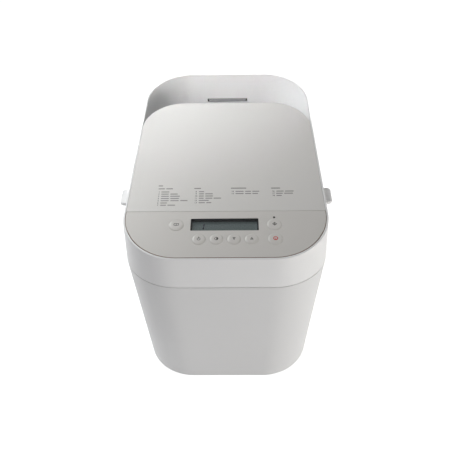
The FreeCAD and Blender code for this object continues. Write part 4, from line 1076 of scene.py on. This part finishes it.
class BREADMACHINE_OT_drive(bpy.types.Operator):
    """Give the motor, the belt drive and the mains board inside the case their finishes"""

    bl_idname = "bread_machine.drive"
    bl_label = "Drive"

    def execute(self, context):
        paint(zinc_sheet, "drive_chassis", "motor_housing")
        paint(plated_steel, "drive_shaft", "motor_shaft", "shaft_clip")
        paint(natural_nylon, "driven_pulley")
        paint(die_cast, "motor_pulley", "drive_coupler")
        paint(sintered_bronze, "shaft_bushes")
        paint(laminated_iron, "motor_stator", "rotor_core")
        paint(dark_rubber, "motor_grommets", "drive_belt")
        paint(circuit_board, "power_board")
        return {"FINISHED"}


# The lamps: place and aim in metres, size in metres, spread in degrees, power in watts, colour
MIDDLE = (0, 0, 0.17)
LAMPS = (
    ("lamp_near_left", (-0.45, 0.2, 0.75), MIDDLE, 0.4, 180, 3.35, "#FCFFFF"),
    ("lamp_front_left", (-1.6, -3.4, 1.8), MIDDLE, 1.2, 180, 24.0, "#FDFBFF"),
    ("lamp_front_right", (2.0, -3.2, 1.0), MIDDLE, 1.2, 180, 9.0, "#FFFDF9"),
    ("lamp_low_right", (1.2, -0.8, 0.25), MIDDLE, 0.5, 180, 7.65, "#FFFDF9"),
    ("lamp_collar", (-1.38, -1.84, 1.58), (0, 0.2, 0.33), 0.1, 10, 0.12, "#FFFFFF"),
    ("lamp_back", (0.0, 1.0, 1.2), MIDDLE, 0.8, 180, 1.7, "#FFFDFB"),
)
WHITE = (1, 1, 1, 1)
AMBIENT = 0.12
FLOOR_SIZE = 12
FLOOR_GLOW = 0.93
SENSOR_WIDTH = 36
CAMERA_PLACE = Vector((13.19, -639.54, 643.78)) * MM
CAMERA_LENS = 40.147
CAMERA_PITCH, CAMERA_YAW, CAMERA_ROLL = (math.radians(angle) for angle in (37.82, -1.42, -1.24))


def seen_rays(material):
    """One where a ray comes from the camera, a reflection or through glass, and nought elsewhere."""
    path = node(material, "ShaderNodeLightPath")
    either = node(material, "ShaderNodeMath", {0: path.outputs["Is Camera Ray"],
                                               1: path.outputs["Is Glossy Ray"]}, operation="MAXIMUM")
    return node(material, "ShaderNodeMath", {0: either.outputs["Value"],
                                             1: path.outputs["Is Transmission Ray"]},
                operation="MAXIMUM").outputs["Value"]


def floor_paper(name):
    """Matt white backdrop paper: reads as white to the camera and keeps a soft shadow."""
    material = blank(name)
    paper = node(material, "ShaderNodeBsdfDiffuse", {"Color": tone(linear("#E8E8E8"))})
    glow = node(material, "ShaderNodeEmission", {"Strength": FLOOR_GLOW})
    lit = node(material, "ShaderNodeAddShader", {0: glow.outputs["Emission"], 1: paper.outputs["BSDF"]})
    either = node(material, "ShaderNodeMixShader", {0: seen_rays(material), 1: paper.outputs["BSDF"],
                                                    2: lit.outputs["Shader"]})
    return shaded(material, either.outputs["Shader"])


def studio_world():
    """White to the camera and in reflections, with a little even light on the object."""
    world = bpy.data.worlds.new("studio")
    world.use_nodes = True
    world.node_tree.nodes.clear()
    shown = node(world, "ShaderNodeBackground", {"Color": WHITE, "Strength": 1})
    fill = node(world, "ShaderNodeBackground", {"Color": WHITE, "Strength": AMBIENT})
    either = node(world, "ShaderNodeMixShader", {0: seen_rays(world), 1: fill.outputs["Background"],
                                                 2: shown.outputs["Background"]})
    node(world, "ShaderNodeOutputWorld", {"Surface": either.outputs["Shader"]})
    return world


def camera_axes():
    """The camera's right, up and back, from its yaw, pitch and roll."""
    ahead = Vector((math.sin(CAMERA_YAW) * math.cos(CAMERA_PITCH),
                    math.cos(CAMERA_YAW) * math.cos(CAMERA_PITCH), -math.sin(CAMERA_PITCH)))
    level = Vector((math.cos(CAMERA_YAW), -math.sin(CAMERA_YAW), 0))
    upright = level.cross(ahead)
    right = level * math.cos(CAMERA_ROLL) + upright * math.sin(CAMERA_ROLL)
    up = upright * math.cos(CAMERA_ROLL) - level * math.sin(CAMERA_ROLL)
    return right, up, -ahead


class BREADMACHINE_OT_stage(bpy.types.Operator):
    """Set the floor, the white surroundings, the lamps and the camera"""

    bl_idname = "bread_machine.stage"
    bl_label = "Stage"

    def execute(self, context):
        scene = context.scene
        scene.view_settings.view_transform = "Standard"
        bpy.ops.object.select_all(action="DESELECT")
        bpy.ops.mesh.primitive_plane_add(size=FLOOR_SIZE, location=(0, 0, CAD_BOX[0].z))
        floor = context.object
        floor.name = "floor"
        floor.data.materials.append(finish(floor_paper))
        scene.world = studio_world()
        for name, place, aim, size, spread, power, colour in LAMPS:
            bpy.ops.object.light_add(type="AREA", location=place)
            lamp = context.object
            lamp.name = name
            lamp.data.size = size
            lamp.data.spread = math.radians(spread)
            lamp.data.energy = power
            lamp.data.color = linear(colour)
            lamp.rotation_euler = (Vector(aim) - Vector(place)).to_track_quat("-Z", "Y").to_euler()
        bpy.ops.object.camera_add(location=CAMERA_PLACE)
        camera = context.object
        camera.data.lens = CAMERA_LENS
        camera.data.sensor_width = SENSOR_WIDTH
        turn = Matrix(camera_axes()).transposed().to_4x4()
        camera.matrix_world = Matrix.Translation(CAMERA_PLACE) @ turn
        scene.camera = camera
        return {"FINISHED"}


STEPS = (BREADMACHINE_OT_case, BREADMACHINE_OT_base, BREADMACHINE_OT_panel, BREADMACHINE_OT_keys,
         BREADMACHINE_OT_display, BREADMACHINE_OT_lid, BREADMACHINE_OT_oven, BREADMACHINE_OT_drive,
         BREADMACHINE_OT_stage)


class BREADMACHINE_PT_steps(bpy.types.Panel):
    """The steps that dress the bread machine, with their sizes and colours"""

    bl_label = "Bread machine"
    bl_space_type = "VIEW_3D"
    bl_region_type = "UI"
    bl_category = "Bread machine"

    def draw(self, context):
        for group in (context.scene.bread_machine_sizes, context.scene.bread_machine_colours):
            for name in group.bl_rna.properties.keys():
                if name not in ("rna_type", "name"):
                    self.layout.prop(group, name)
        for step in STEPS:
            self.layout.operator(step.bl_idname)


CLASSES = (BreadMachineSizes, BreadMachineColours, *STEPS, BREADMACHINE_PT_steps)


def register():
    for item in CLASSES:
        bpy.utils.register_class(item)
    bpy.types.Scene.bread_machine_sizes = bpy.props.PointerProperty(type=BreadMachineSizes)
    bpy.types.Scene.bread_machine_colours = bpy.props.PointerProperty(type=BreadMachineColours)


def unregister():
    del bpy.types.Scene.bread_machine_colours
    del bpy.types.Scene.bread_machine_sizes
    for item in reversed(CLASSES):
        bpy.utils.unregister_class(item)


def main():
    register()
    for step in STEPS:
        group, name = step.bl_idname.split(".")
        getattr(getattr(bpy.ops, group), name)()


if __name__ == "__main__":
    main()
